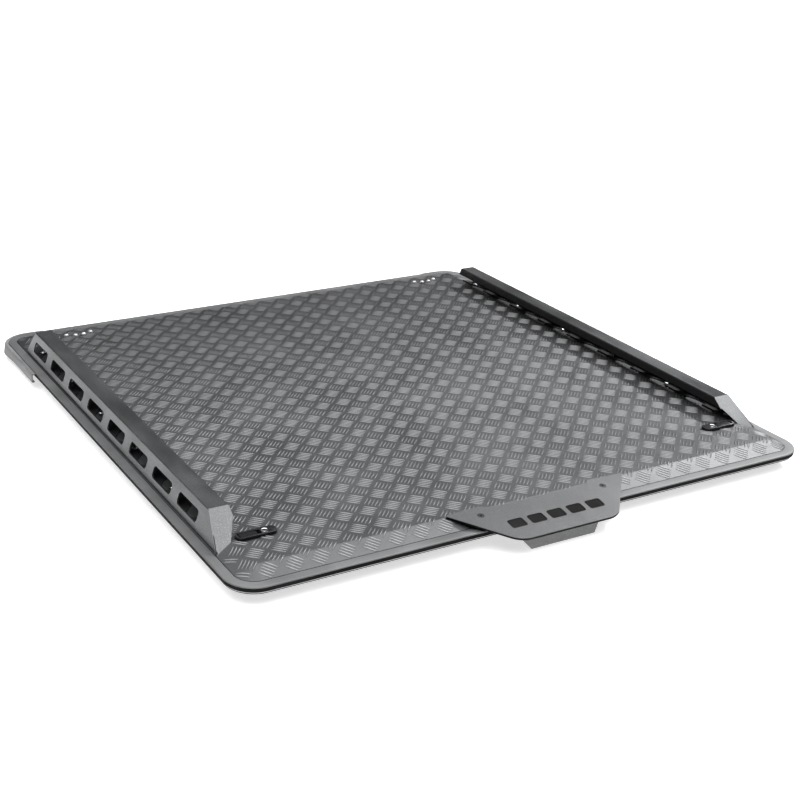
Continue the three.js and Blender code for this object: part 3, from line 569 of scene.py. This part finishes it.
# %% One bar
BAR_LENGTH, BAR_WIDTH, BAR_HEIGHT = 0.034, 0.0047, 0.0015
BAR_REACH = BAR_LENGTH / 2
along_bar = [-1.0, -0.55, 0.0, 0.55, 1.0]
bar_points = []
for length_share, width_share, height in ((1.0, 1.0, -0.0003), (0.93, 0.7, BAR_HEIGHT * 0.62)):
    for side, places in ((1, along_bar), (-1, along_bar[3:0:-1])):
        for u in places:
            half_width = BAR_WIDTH / 2 * (1 - u * u) ** 0.8 * width_share
            bar_points.append((u * BAR_REACH * length_share, side * half_width, height))
bar_points += [(u * BAR_REACH * 0.8, 0.0, BAR_HEIGHT) for u in (-0.7, 0.0, 0.7)]
bar_faces = bands(2, 8) + [tuple(range(8))]
bar_faces += [(8, 9, 16), (9, 10, 17, 16), (10, 11, 18, 17), (11, 12, 18)]
bar_faces += [(12, 13, 18), (13, 14, 17, 18), (14, 15, 16, 17), (15, 8, 16)]
print("one bar has", len(bar_faces), "faces")

# %% Plates over what hides the bars
def cover(x0, x1, y0, y1):
    return ((x0, y0), (x1, y0), (x1, y1), (x0, y1))


MASK_HEIGHT = 20.0
covers = [cover(693, 745, -560, 700), cover(LOCK_IN + 6, LOCK_OUT - 6, LOCK_Y - 12, LOCK_Y + 12)]
covers += [tuple((-x, y) for x, y in reversed(plate)) for plate in covers] + [cover(-226, 226, -700, -648)]
mask_points = [(x, y, MASK_HEIGHT) for plate in covers for x, y in plate]
mask = mesh_object("bar_mask", mask_points, [tuple(range(4 * i, 4 * i + 4)) for i in range(len(covers))])
print(len(covers), "places without bars")


# %% Helpers for geometry trees
def vector_node(tree, operation, *values):
    node = operation_node(tree, "ShaderNodeVectorMath", operation, values)
    return node.outputs["Value" if operation == "LENGTH" else "Vector"]


def geometry_tree(name, inputs):
    """A tree with geometry going in and out, and the identifiers of its other named inputs."""
    tree = bpy.data.node_groups.new(name, "GeometryNodeTree")
    for direction in ("INPUT", "OUTPUT"):
        tree.interface.new_socket(name="Geometry", in_out=direction, socket_type="NodeSocketGeometry")
    ids = {}
    for label, kind in inputs.items():
        socket = tree.interface.new_socket(name=label, in_out="INPUT", socket_type="NodeSocket" + kind)
        ids[label] = socket.identifier
    return tree, ids


def finish_tree(tree, source, geometry):
    finish = tree.nodes.new("GeometryNodeSetMaterial")
    link(tree, geometry, finish.inputs["Geometry"])
    link(tree, source.outputs["Finish"], finish.inputs["Material"])
    link(tree, finish.outputs["Geometry"], tree.nodes.new("NodeGroupOutput").inputs["Geometry"])


def grown(piece, tree, ids, values):
    """The piece after its tree has run on it with the given inputs."""
    nodes = piece.modifiers.new("geometry nodes", "NODES")
    nodes.node_group = tree
    for label, value in values.items():
        nodes[ids[label]] = value
    return applied(piece)


# %% Node tree for the bars


def from_flat_deck(tree, position, low, high):
    """The nearest point of the deck's flat middle, the way out from it, and that way's length."""
    flat = vector_node(tree, "MULTIPLY", position, (1.0, 1.0, 0.0))
    nearest = vector_node(tree, "MINIMUM", vector_node(tree, "MAXIMUM", flat, low), high)
    outside = vector_node(tree, "SUBTRACT", flat, nearest)
    return nearest, outside, vector_node(tree, "LENGTH", outside)


GRID_SQUARES = 26
TREAD_INPUTS = {
    "Grid pitch": "Float",
    "Grid middle": "Vector",
    "Turn": "Float",
    "Bar spacing": "Float",
    "Flat deck low corner": "Vector",
    "Flat deck high corner": "Vector",
    "Bent edge run": "Float",
    "Bent edge drop": "Float",
    "Covered places": "Object",
    "Finish": "Material",
}


def tread_tree():
    tree, ids = geometry_tree("tread bars", TREAD_INPUTS)
    new = tree.nodes.new
    source = new("NodeGroupInput")
    grid = new("GeometryNodeMeshGrid")
    grid.inputs["Vertices X"].default_value = GRID_SQUARES + 1
    grid.inputs["Vertices Y"].default_value = GRID_SQUARES + 1
    span = math_node(tree, "MULTIPLY", source.outputs["Grid pitch"], GRID_SQUARES)
    link(tree, span, grid.inputs["Size X"])
    link(tree, span, grid.inputs["Size Y"])
    moved = new("GeometryNodeTransform")
    link(tree, grid.outputs["Mesh"], moved.inputs["Geometry"])
    link(tree, source.outputs["Grid middle"], moved.inputs["Translation"])
    row = new("GeometryNodeMeshLine")
    row.inputs["Count"].default_value = 5
    step = new("ShaderNodeCombineXYZ")
    link(tree, source.outputs["Bar spacing"], step.inputs["Y"])
    start = new("ShaderNodeCombineXYZ")
    link(tree, math_node(tree, "MULTIPLY", source.outputs["Bar spacing"], -2.0), start.inputs["Y"])
    link(tree, start.outputs[0], row.inputs["Start Location"])
    link(tree, step.outputs[0], row.inputs["Offset"])
    turn = new("ShaderNodeCombineXYZ")
    link(tree, source.outputs["Turn"], turn.inputs["Z"])
    rows_on_grid = new("GeometryNodeInstanceOnPoints")
    link(tree, moved.outputs["Geometry"], rows_on_grid.inputs["Points"])
    link(tree, row.outputs["Mesh"], rows_on_grid.inputs["Instance"])
    link(tree, turn.outputs[0], rows_on_grid.inputs["Rotation"])
    spots = new("GeometryNodeRealizeInstances")
    link(tree, rows_on_grid.outputs["Instances"], spots.inputs["Geometry"])

    # A spot is kept where it is over the sheet and no covering plate is above it.
    low, high = source.outputs["Flat deck low corner"], source.outputs["Flat deck high corner"]
    spot_position = new("GeometryNodeInputPosition").outputs[0]
    _, _, spot_distance = from_flat_deck(tree, spot_position, low, high)
    last_spot = math_node(tree, "SUBTRACT", source.outputs["Bent edge run"], 0.005)
    on_sheet = math_node(tree, "LESS_THAN", spot_distance, last_spot)
    cover = new("GeometryNodeObjectInfo")
    link(tree, source.outputs["Covered places"], cover.inputs["Object"])
    ray = new("GeometryNodeRaycast")
    link(tree, cover.outputs["Geometry"], ray.inputs["Target Geometry"])
    ray.inputs["Ray Direction"].default_value = (0.0, 0.0, 1.0)
    ray.inputs["Ray Length"].default_value = 1.0
    open_above = math_node(tree, "SUBTRACT", 1.0, ray.outputs["Is Hit"])
    bars = new("GeometryNodeInstanceOnPoints")
    link(tree, spots.outputs["Geometry"], bars.inputs["Points"])
    link(tree, source.outputs["Geometry"], bars.inputs["Instance"])
    link(tree, turn.outputs[0], bars.inputs["Rotation"])
    link(tree, math_node(tree, "MULTIPLY", on_sheet, open_above), bars.inputs["Selection"])
    realized = new("GeometryNodeRealizeInstances")
    link(tree, bars.outputs["Instances"], realized.inputs["Geometry"])

    # Every point of a bar is pulled back inside the step line and lowered onto the bent edge.
    position = new("GeometryNodeInputPosition").outputs[0]
    nearest, outside, distance = from_flat_deck(tree, position, low, high)
    limit = math_node(tree, "SUBTRACT", source.outputs["Bent edge run"], 0.0006)
    away = math_node(tree, "MAXIMUM", distance, 1e-6)
    keep = math_node(tree, "MINIMUM", 1.0, math_node(tree, "DIVIDE", limit, away))
    scaled = new("ShaderNodeVectorMath")
    scaled.operation = "SCALE"
    link(tree, outside, scaled.inputs[0])
    link(tree, keep, scaled.inputs["Scale"])
    parts = new("ShaderNodeSeparateXYZ")
    link(tree, position, parts.inputs[0])
    slope = math_node(tree, "DIVIDE", source.outputs["Bent edge drop"], source.outputs["Bent edge run"])
    run = math_node(tree, "MINIMUM", distance, source.outputs["Bent edge run"])
    lowered = math_node(tree, "MULTIPLY", run, slope)
    height = new("ShaderNodeCombineXYZ")
    link(tree, math_node(tree, "SUBTRACT", parts.outputs["Z"], lowered), height.inputs["Z"])
    inside = vector_node(tree, "ADD", nearest, scaled.outputs["Vector"])
    draped = vector_node(tree, "ADD", inside, height.outputs[0])
    placed = new("GeometryNodeSetPosition")
    link(tree, realized.outputs["Geometry"], placed.inputs["Geometry"])
    link(tree, draped, placed.inputs["Position"])
    finish_tree(tree, source, placed.outputs["Geometry"])
    return tree, ids


TREAD, tread_ids = tread_tree()


# %% Both sets of bars
def tread_bars(name, middle, turn, finish):
    piece = mesh_object(name, bar_points, bar_faces, finish, shift=False)
    values = {
        "Grid pitch": 0.06,
        "Grid middle": tuple(middle),
        "Turn": math.radians(turn),
        "Bar spacing": 0.008,
        "Flat deck low corner": (*at(BAND_RUN - HALF_WIDTH, NEAR + BAND_RUN, 0).xy, 0.0),
        "Flat deck high corner": (*at(HALF_WIDTH - BAND_RUN, FAR - BAND_RUN, 0).xy, 0.0),
        "Bent edge run": BAND_RUN * 0.001,
        "Bent edge drop": BAND_DROP * 0.001,
        "Covered places": mask,
        "Finish": finish,
    }
    grown(piece, TREAD, tread_ids, values)
    shell = bmesh.new()
    shell.from_mesh(piece.data)
    bmesh.ops.dissolve_degenerate(shell, edges=shell.edges, dist=2e-5)
    shell.to_mesh(piece.data)
    shell.free()
    shade(piece, 60)
    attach(piece, "lid")
    print(name, len(piece.data.polygons), "faces")


# The falling bars carry the painted light and the rising bars the painted shade.
tread_bars("bars_falling", at(-11.2, 60.0, 0.0), -45.0, PAINTED_LIT_BARS)
tread_bars("bars_rising", at(18.8, 90.0, 0.0), 45.0, PAINTED_SHADE_BARS)
bpy.data.objects.remove(mask)

# %% [markdown]
# ## Cargo rails
# Each rail is one bent sheet: a flange bolted to the sloping edge, a leaning wall with eight windows, a flat
# top and a short lip. The section is drawn once with its bends rounded on both faces, swept along the rail,
# and cut: the slanted ends first, then the windows, the bites behind them and the rounded far corner.
# Booleans suit this, since the real rail is also a profile that is laser cut and then folded. The faces
# turned to the channel, underneath and on top of the flange get a near-black painted shade, for the shade in
# the channel.


# %% Rail section with rounded bends
def filleted(path, radius, steps=6):
    result = [path[0]]
    for before, corner, after in zip(path, path[1:], path[2:]):
        a, b, c = Vector(before), Vector(corner), Vector(after)
        into, out = (b - a).normalized(), (c - b).normalized()
        half_turn = into.angle(out) / 2
        reach = radius * math.tan(half_turn)
        side = 1.0 if into.x * out.y - into.y * out.x > 0 else -1.0
        middle = b - into * reach + Vector((-into.y, into.x)) * radius * side
        start = b - into * reach - middle
        for i in range(steps + 1):
            turned = Matrix.Rotation(side * 2 * half_turn * i / steps, 2) @ start
            result.append(tuple(middle + turned))
    return result + [path[-1]]


def offset_path(path, distance):
    """The polyline moved to its left by a distance."""
    directions = [(Vector(b) - Vector(a)).normalized() for a, b in zip(path, path[1:])]
    sideways = [Vector((-d.y, d.x)) for d in directions]
    result = []
    for corner, before, after in zip(path, [sideways[0], *sideways], [*sideways, sideways[-1]]):
        middle = (before + after).normalized()
        result.append(tuple(Vector(corner) + middle * distance / middle.dot(before)))
    return result


RAIL_SHEET = 3.0
FLANGE_X, FOOT_X, TOP_X, TOP_Z, LIP_X, LIP_Z = 692.0, 737.0, 715.2, 50.4, 669.0, 29.5


def flange_z(x):
    """Underside of the flange: the slope of the bent edge, a hair above it."""
    return 0.4 - BAND_DROP * (x - HALF_WIDTH + BAND_RUN) / BAND_RUN


FOOT_Z = flange_z(FOOT_X)
outer_path = [(FLANGE_X, flange_z(FLANGE_X)), (FOOT_X, FOOT_Z)]
outer_path += [(TOP_X, TOP_Z), (LIP_X, TOP_Z), (LIP_X, LIP_Z)]
rail_section = filleted(outer_path, 4.2) + filleted(offset_path(outer_path, RAIL_SHEET), 1.2)[::-1]


# %% Rail
NEAR_END, FAR_END = (-556.0, -471.0), (700.0, 672.0)
RAIL_CORNER = 20.0


def slanted_block(name, foot_and_top, side, thickness, reach):
    """A slab along the slanted line from the rail's foot to its top, on one side of that line."""
    foot_y, top_y = foot_and_top
    along = Vector((top_y - foot_y, TOP_Z - FOOT_Z)).normalized()
    across = Vector((-along.y, along.x)) * side * thickness
    start, end = Vector((foot_y, FOOT_Z)) - along * reach, Vector((top_y, TOP_Z)) + along * reach
    return prism(name, [tuple(p) for p in (start, end, end + across, start + across)], "x", 640, 780)


rail = prism("cargo_rail", rail_section, "y", -580, 720, RAIL_COAT)
waste = [slanted_block("near_waste", NEAR_END, 1, 140, 60), slanted_block("far_waste", FAR_END, -1, 140, 60)]
combined(rail, "DIFFERENCE", waste)
flange_middle = (700, 0.5 * (flange_z(695.5) + FOOT_Z))
end_corners = [(FOOT_X - 0.4, FOOT_Z + 0.3), (TOP_X, TOP_Z - 0.1), (LIP_X + 0.2, TOP_Z - 0.1)]
end_corners += [(LIP_X + 3.8, LIP_Z), (695.5, flange_z(695.5))]
end_face = filleted([flange_middle, *end_corners, flange_middle], 1.6, 3)[1:-1]
end_plate = prism("end_plate", end_face, "y", -600, -430, RAIL_COAT)
combined(end_plate, "INTERSECT", [slanted_block("end_slab", NEAR_END, -1, RAIL_SHEET, 40)])
combined(rail, "UNION", [end_plate])

# %% Windows, bites and the rounded far corner
WINDOWS, FIRST_WINDOW, WINDOW_PITCH, WINDOW_REACH = 8, -387.4, 141.2, 51.5
rail_cuts = []
for k in range(WINDOWS):
    y = FIRST_WINDOW + WINDOW_PITCH * k
    window = rounded_rectangle(y - WINDOW_REACH, y + WINDOW_REACH, 4.5, 32.0, 9.0, 10)
    rail_cuts.append(prism("window", window, "x", 705, 760))
    bite = [(688, y - 22), *arc(697, y + 8, 25, -90, 90, 14, stretch=1.2), (688, y + 38)]
    rail_cuts.append(prism("bite", bite, "z", -16, 5))
corner_waste = [(675, FOOT_Z - 5), (720, FOOT_Z - 5), (720, FOOT_Z + RAIL_CORNER)]
corner_waste += arc(680, FOOT_Z + RAIL_CORNER, RAIL_CORNER, 0, -90, 8)
rail_cuts.append(prism("corner_waste", corner_waste, "x", 728, 760))
combined(rail, "DIFFERENCE", rail_cuts)
shade(rail, 30)

# %% The channel's inside and the flange get a near-black painted shade
rail.data.materials.append(CHANNEL_SHADE_COAT)
flange_top = at(0, 0, 1.0).z
for face in rail.data.polygons:
    turned_in = face.normal.x < -0.35 and (face.center.z > flange_top or face.center.x > 0.725)
    turned_down = face.normal.z < -0.5 and face.center.z > flange_top
    on_flange = face.normal.z > 0.5 and face.center.z < flange_top + 0.012
    if turned_in or turned_down or on_flange:
        face.material_index = 1
rail.name = rail.data.name = "rail_right"
fitted(rail, "lid", "powder_coat", "cargo_rail_right")
fitted(other_side(rail, "rail_left"), "lid", "powder_coat", "cargo_rail_left")

# %% [markdown]
# ## Bolt and screw heads
# The rail bolts, the hinge bolts and the handle screws are the same kind of thing: a turned head with a hex
# socket, set square to the surface it clamps. One tree puts a head on each point of a small mesh. The points
# carry the tilt of the surface as an attribute, so that a bolt on the sloping flange leans with it.


# %% Node tree for the heads
def heads_tree():
    tree, ids = geometry_tree("heads on spots", {"Spots": "Object", "Size": "Float", "Finish": "Material"})
    new = tree.nodes.new
    source = new("NodeGroupInput")
    spots = new("GeometryNodeObjectInfo")
    link(tree, source.outputs["Spots"], spots.inputs["Object"])
    tilt = new("GeometryNodeInputNamedAttribute")
    tilt.data_type = "FLOAT_VECTOR"
    tilt.inputs["Name"].default_value = "tilt"
    heads = new("GeometryNodeInstanceOnPoints")
    link(tree, spots.outputs["Geometry"], heads.inputs["Points"])
    link(tree, source.outputs["Geometry"], heads.inputs["Instance"])
    link(tree, tilt.outputs["Attribute"], heads.inputs["Rotation"])
    link(tree, source.outputs["Size"], heads.inputs["Scale"])
    realized = new("GeometryNodeRealizeInstances")
    link(tree, heads.outputs["Instances"], realized.inputs["Geometry"])
    finish_tree(tree, source, realized.outputs["Geometry"])
    return tree, ids


HEADS, heads_ids = heads_tree()


# %% A turned head with a hex socket
def turned(profile, x, y, sides):
    return [(u, v, height) for radius, height in profile for u, v in circle(x, y, radius, sides)]


def turned_head(name, profile, socket_radius, socket_depth, sides=24):
    """profile runs from the bottom ring to the top rim, in millimetres; the socket closes the top."""
    top = profile[-1][1]
    points = turned(profile, 0, 0, sides)
    for height in (top, top - socket_depth):
        for u, v in circle(0, 0, socket_radius, sides):
            flat = math.cos(math.pi / 6) / math.cos(math.atan2(v, u) % (math.pi / 3) - math.pi / 6)
            points.append((u * flat, v * flat, height))
    rings = len(profile) + 2
    faces = bands(rings, sides) + end_caps(rings, sides)
    return mesh_object(name, [tuple(c * 0.001 for c in p) for p in points], faces, shift=False)


def heads_on(name, head, spots, tilts, finish, size=1.0):
    points = bpy.data.meshes.new(name + "_spots")
    points.from_pydata([at(*p) for p in spots], [], [])
    attribute = points.attributes.new("tilt", "FLOAT_VECTOR", "POINT")
    for i, lean in enumerate(tilts):
        attribute.data[i].vector = lean
    spot_object = bpy.data.objects.new(name + "_spots", points)
    scene.collection.objects.link(spot_object)
    head.name = head.data.name = name
    grown(head, HEADS, heads_ids, {"Spots": spot_object, "Size": size, "Finish": finish})
    bpy.data.objects.remove(spot_object)
    return shade(head, 35)


# %% Rail bolts and hinge bolts
BAND_ANGLE = math.atan2(BAND_DROP, BAND_RUN)
dome = [(4, -3), (4, 0), (6.7, 0), (7, 0.3), (7, 1.1)]
dome += [(6.7, 2.0), (6.0, 2.9), (5.0, 3.7), (4.1, 4.2), (3.6, 4.35)]
tall_dome = [(r, z if z < 1 else 1 + (z - 1) * 1.9) for r, z in dome]
lifted_dome = [(r, z + RAIL_SHEET + 0.8) for r, z in dome]
HEX_RADIUS = HEX_DEPTH = 2.4


def numbered(name, count):
    return [f"{name}_{side}_{i + 1}" for side in ("right", "left") for i in range(count)]


BOLT_X, FIRST_BOLT, BOLT_PITCH, RAIL_BOLTS = 705.0, -482.0, 225.0, 6
bolt_z = band_height(BOLT_X - HALF_WIDTH)
rail_spots = [(s * BOLT_X, FIRST_BOLT + BOLT_PITCH * i, bolt_z) for s in (1, -1) for i in range(RAIL_BOLTS)]
rail_tilts = [(0.0, s * BAND_ANGLE, 0.0) for s in (1, -1) for _ in range(RAIL_BOLTS)]
rail_head = turned_head("head", lifted_dome, HEX_RADIUS, HEX_DEPTH)
rail_bolts = heads_on("rail_bolts", rail_head, rail_spots, rail_tilts, ZINC)
fitted(rail_bolts, "lid", "zinc_steel", *numbered("rail_bolt", RAIL_BOLTS))

HINGE_X, HINGE_PITCH, OUTER_Y, INNER_Y = 573.0, 23.6, 737.0, 728.0
hinge_row = ((-1.5, OUTER_Y), (-0.5, INNER_Y), (0.5, INNER_Y), (1.5, OUTER_Y))
hinge_spots = [(s * (HINGE_X + HINGE_PITCH * step), y, 0.4) for s in (1, -1) for step, y in hinge_row]
hinge_head = turned_head("head", tall_dome, HEX_RADIUS, HEX_DEPTH)
upright = [(0.0, 0.0, 0.0)] * len(hinge_spots)
hinge_bolts = heads_on("hinge_bolts", hinge_head, hinge_spots, upright, ZINC, 0.97)
fitted(hinge_bolts, "lid", "zinc_steel", *numbered("hinge_bolt", len(hinge_row)))

# %% [markdown]
# ## Handle
# A thick plate rests on black packing at the near edge and slopes a little towards the hand. Its back edge
# steps forward in the middle and its front corners are rounded. Under it a bent sheet makes the pull.
# Five plain slots are cut through its grey skin, and the black of its back shows in them.

# %% Handle plate
HANDLE_BACK, HANDLE_FRONT, HANDLE_TOP = -636.0, -770.0, 6.0
HANDLE_SLOPE = math.tan(math.radians(8.9))
HANDLE_SHEET, HANDLE_SKIN = 5.0, 1.2
SCREW_X, SCREW_Y = 165.0, -666.0
SLOT_STATIONS = (-104, -52, 0, 52, 104)


def plate_height(y):
    return HANDLE_TOP + (y - HANDLE_BACK) * HANDLE_SLOPE


def handle_outline():
    side_point = (238, HANDLE_BACK - 8)
    back_half = [(0, -648), (110, -648), (126, -648), (150, HANDLE_BACK), (238, HANDLE_BACK - 3), side_point]
    front_half = [side_point, (129.3, HANDLE_FRONT), (0, HANDLE_FRONT)]
    half = filleted(back_half, 4.0, 4) + filleted(front_half, 55.0, 12)[1:]
    return half + [(-x, y) for x, y in reversed(half[1:-1])]


def between_planes(name, outline, top_drop, bottom_drop, material=None):
    """An outline as a slab between two planes that follow the handle's slope."""
    points = [(x, y, plate_height(y) - drop) for drop in (bottom_drop, top_drop) for x, y in outline]
    n = len(outline)
    return mesh_object(name, points, end_caps(2, n) + bands(2, n), material)


def slot_outline(x):
    return rounded_rectangle(x - 20, x + 20, -730, -701, 6.0, 6)


plate = between_planes("handle", handle_outline(), 0.0, HANDLE_SKIN, HANDLE_COAT)
openings = [slot_outline(x) for x in SLOT_STATIONS]
openings += [circle(x, SCREW_Y, 7.6, 24) for x in (SCREW_X, -SCREW_X)]
combined(plate, "DIFFERENCE", [between_planes("opening", outline, -3.0, 3.0) for outline in openings])
eased(plate, 0.4, 2, 40.0)
fitted(plate, "lid", "powder_coat", "handle_plate")
backing = between_planes("handle_backing", handle_outline(), HANDLE_SKIN + 0.05, HANDLE_SHEET, SEAL_RUBBER)
shade(backing, 30)
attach(backing, "lid")

# %% Handle screws
sunk = [(3, -2.4), (6.6, 0.4), (6.9, 0.8), (6.6, 1.05), (3.2, 1.15)]
screw_spots = [(x, SCREW_Y, plate_height(SCREW_Y) - 1.3) for x in (SCREW_X, -SCREW_X)]
lean = [(math.atan(HANDLE_SLOPE), 0.0, 0.0)] * len(screw_spots)
screws = heads_on("handle_screws", turned_head("head", sunk, 2.6, 1.6), screw_spots, lean, LOCK_PLASTIC)
fitted(screws, "lid", "black_plastic", "handle_screw_right", "handle_screw_left")


# %% [markdown]
# ## Soft edges on the frame's own pieces
# The packing, the pull, the paddles, the latches, the hinges and the stiffening members already have their
# right shape in the frame. A copy of each is merged, its flat faces are joined and its edges are eased a
# little, which gives it the highlights that a bare solid lacks.


# %% Eased copies
def eased_copy(node, name, material, width, body="lid", slot=None, sharp=38.0, angle=32.0):
    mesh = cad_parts[node].data.copy()
    mesh.materials.clear()
    mesh.materials.append(material)
    piece = bpy.data.objects.new(name, mesh)
    scene.collection.objects.link(piece)
    shell = bmesh.new()
    shell.from_mesh(mesh)
    bmesh.ops.remove_doubles(shell, verts=shell.verts, dist=5e-6)
    shell.to_mesh(mesh)
    shell.free()
    for name_of_old in ("custom_normal", "sharp_face", "sharp_edge"):
        if name_of_old in mesh.attributes:
            mesh.attributes.remove(mesh.attributes[name_of_old])
    eased(piece, width, 2, angle, sharp)
    fitted(piece, body, slot, node)


eased_copy("handle_gasket", "packing", SEAL_RUBBER, 0.5, slot="rubber")
eased_copy("pull_lip", "pull", PULL_COAT, 0.6, slot="powder_coat")
for side in ("right", "left"):
    eased_copy(f"side_member_{side}", f"side_beam_{side}", MILL, 0.5, slot="mill_aluminium")
    eased_copy(f"latch_case_{side}", f"latch_sleeve_{side}", PLAIN_STEEL, 0.4, slot="bare_steel")
    eased_copy(f"latch_bolt_{side}", f"bolt_{side}", PLAIN_STEEL, 0.5, f"latch_bolt_{side}", "bare_steel")
    eased_copy(f"hinge_plate_{side}", f"hinge_bracket_{side}", PLAIN_STEEL, 0.5, slot="bare_steel")
    eased_copy(f"hinge_pin_{side}", f"hinge_axle_{side}", ZINC, 0.5, slot="zinc_steel", angle=40.0)
    base = f"hinge_base_{side}"
    eased_copy(base, f"hinge_foot_{side}", FOOT_COAT, 0.7, base, "powder_coat", angle=40.0)
    stud = f"strut_stud_{side}"
    eased_copy(stud, f"ball_stud_{side}", ZINC, 0.3, slot="zinc_steel", sharp=50.0, angle=50.0)
    eased_copy(f"lever_pin_{side}", f"paddle_pin_{side}", PLAIN_STEEL, 0.3, slot="bare_steel", angle=40.0)
for i in range(1, 5):
    eased_copy(f"cross_member_{i}", f"cross_beam_{i}", MILL, 0.5, slot="mill_aluminium")

# %% [markdown]
# ## Locks
# Each lock is a flat black body with rounded ends, let into the deck. A polished key face shows at its inner
# end, then comes a scoop for a fingertip and the paddle. The body is a rounded plate with its openings cut
# out. The key gets a turned face with a rim and a slot.


# %% Lock body
KEY_X, KEY_SIDES = 615.0, 32


def lock_plate(name, x0, x1, half_width, radius, low, high, material=None, steps=8):
    """A rounded plate on the lock's own middle line."""
    outline = rounded_rectangle(x0, x1, LOCK_Y - half_width, LOCK_Y + half_width, radius, steps)
    return prism(name, outline, "z", low, high, material)


def lock_body():
    bezel = lock_plate("lock_body", LOCK_IN, LOCK_OUT, 14, 10, 0.4, LOCK_TOP, LOCK_PLASTIC, 10)
    combined(bezel, "UNION", [lock_plate("below", LOCK_IN + 5, LOCK_OUT - 4, 11, 2, -16, 1.4, LOCK_PLASTIC)])
    pocket = lock_plate("pocket", 625, 675.8, 8.6, 1.2, -30, 30)
    key_hole = prism("key_hole", circle(KEY_X, LOCK_Y, 8.4, KEY_SIDES), "z", -30, 30)
    combined(bezel, "DIFFERENCE", [pocket, key_hole])
    return eased(bezel, 0.8, 3, 40.0)


body = lock_body()
body.name = body.data.name = "lock_body_right"
fitted(body, "lid", "black_plastic", "lock_housing_right")
fitted(other_side(body, "lock_body_left"), "lid", "black_plastic", "lock_housing_left")


# %% Paddle and key
def key_face():
    profile = [(7.9, -20), (7.9, 7.2), (7.4, 7.9), (6.6, 8.0), (6.1, 7.5), (5.6, 7.4)]
    rings = len(profile)
    faces = bands(rings, KEY_SIDES) + end_caps(rings, KEY_SIDES)
    face = mesh_object("key", turned(profile, KEY_X, LOCK_Y, KEY_SIDES), faces, POLISHED)
    combined(face, "DIFFERENCE", [lock_plate("key_slot", KEY_X - 3.8, KEY_X + 3.8, 0.9, 0.6, 4, 12, steps=3)])
    tab = lock_plate("key_tab", KEY_X - 4, KEY_X + 13, 4, 2, -23, -19.5, POLISHED, 4)
    return shade(combined(face, "UNION", [tab]), 35)


key = key_face()
key.name = key.data.name = "key_right"
fitted(key, "key_cylinder_right", "chrome", "key_cylinder_right")
fitted(other_side(key, "key_left"), "key_cylinder_left", "chrome", "key_cylinder_left")
for side in ("right", "left"):
    lever = f"lock_lever_{side}"
    eased_copy(lever, f"paddle_{side}", LOCK_PLASTIC, 0.6, lever, "black_plastic")

# %% [markdown]
# ## Corner boots
# A rubber channel hugs the rim round each cab-end corner and runs on along the side as an open sleeve. Its
# lower edge flares out near the corner. The section is carried along a straight, a quarter turn and a short
# straight, and the flare is a smooth push outwards that grows towards the corner and with depth.


# %% Corner boots
BOOT_START, BOOT_END, BOOT_FLARE = 546.0, 640.0, 4.0


def corner_boot():
    middle = (HALF_WIDTH - CORNER, FAR - CORNER)
    straight = middle[1] - BOOT_START
    stations = [(middle[0], BOOT_START + straight * t, 0.0) for t in np.linspace(0, 0.97, 22)]
    stations += [(*middle, math.pi / 2 * i / CORNER_STEPS) for i in range(CORNER_STEPS + 1)]
    stations += [(BOOT_END, middle[1], math.pi / 2)]
    section = [(27.4, -40.5), (34.4, -40.5), (35, -39.9), (35, -19.6), (34.1, -17.2), (32, -16), (24.8, -16)]
    section += [(24.4, -16.4), (24.4, -18.6), (30.4, -19.4), (31.6, -20.4), (32, -22), (32, -37.5)]
    section += [(27.4, -37.5), (27, -38), (27, -40)]
    points = []
    for x, y, angle in stations:
        rise = max(0.0, 1 - angle / 0.9) if angle > 0 else min(max((y - 690) / 80, 0.0), 1.0)
        flare = BOOT_FLARE * rise * rise * (3 - 2 * rise)
        for offset, z in section:
            reach = CORNER + offset + flare * min(max((-24 - z) / 14, 0.0), 1.0)
            points.append((x + reach * math.cos(angle), y + reach * math.sin(angle), z))
    faces = bands(len(stations), len(section)) + end_caps(len(stations), len(section))
    return shade(mesh_object("boot_right", points, faces, BOOT_RUBBER), 50)


boot = corner_boot()
fitted(boot, "lid", "rubber", "corner_boot_right")
fitted(other_side(boot, "boot_left"), "lid", "rubber", "corner_boot_left")

# %% [markdown]
# ## End

# %% End
print("done")
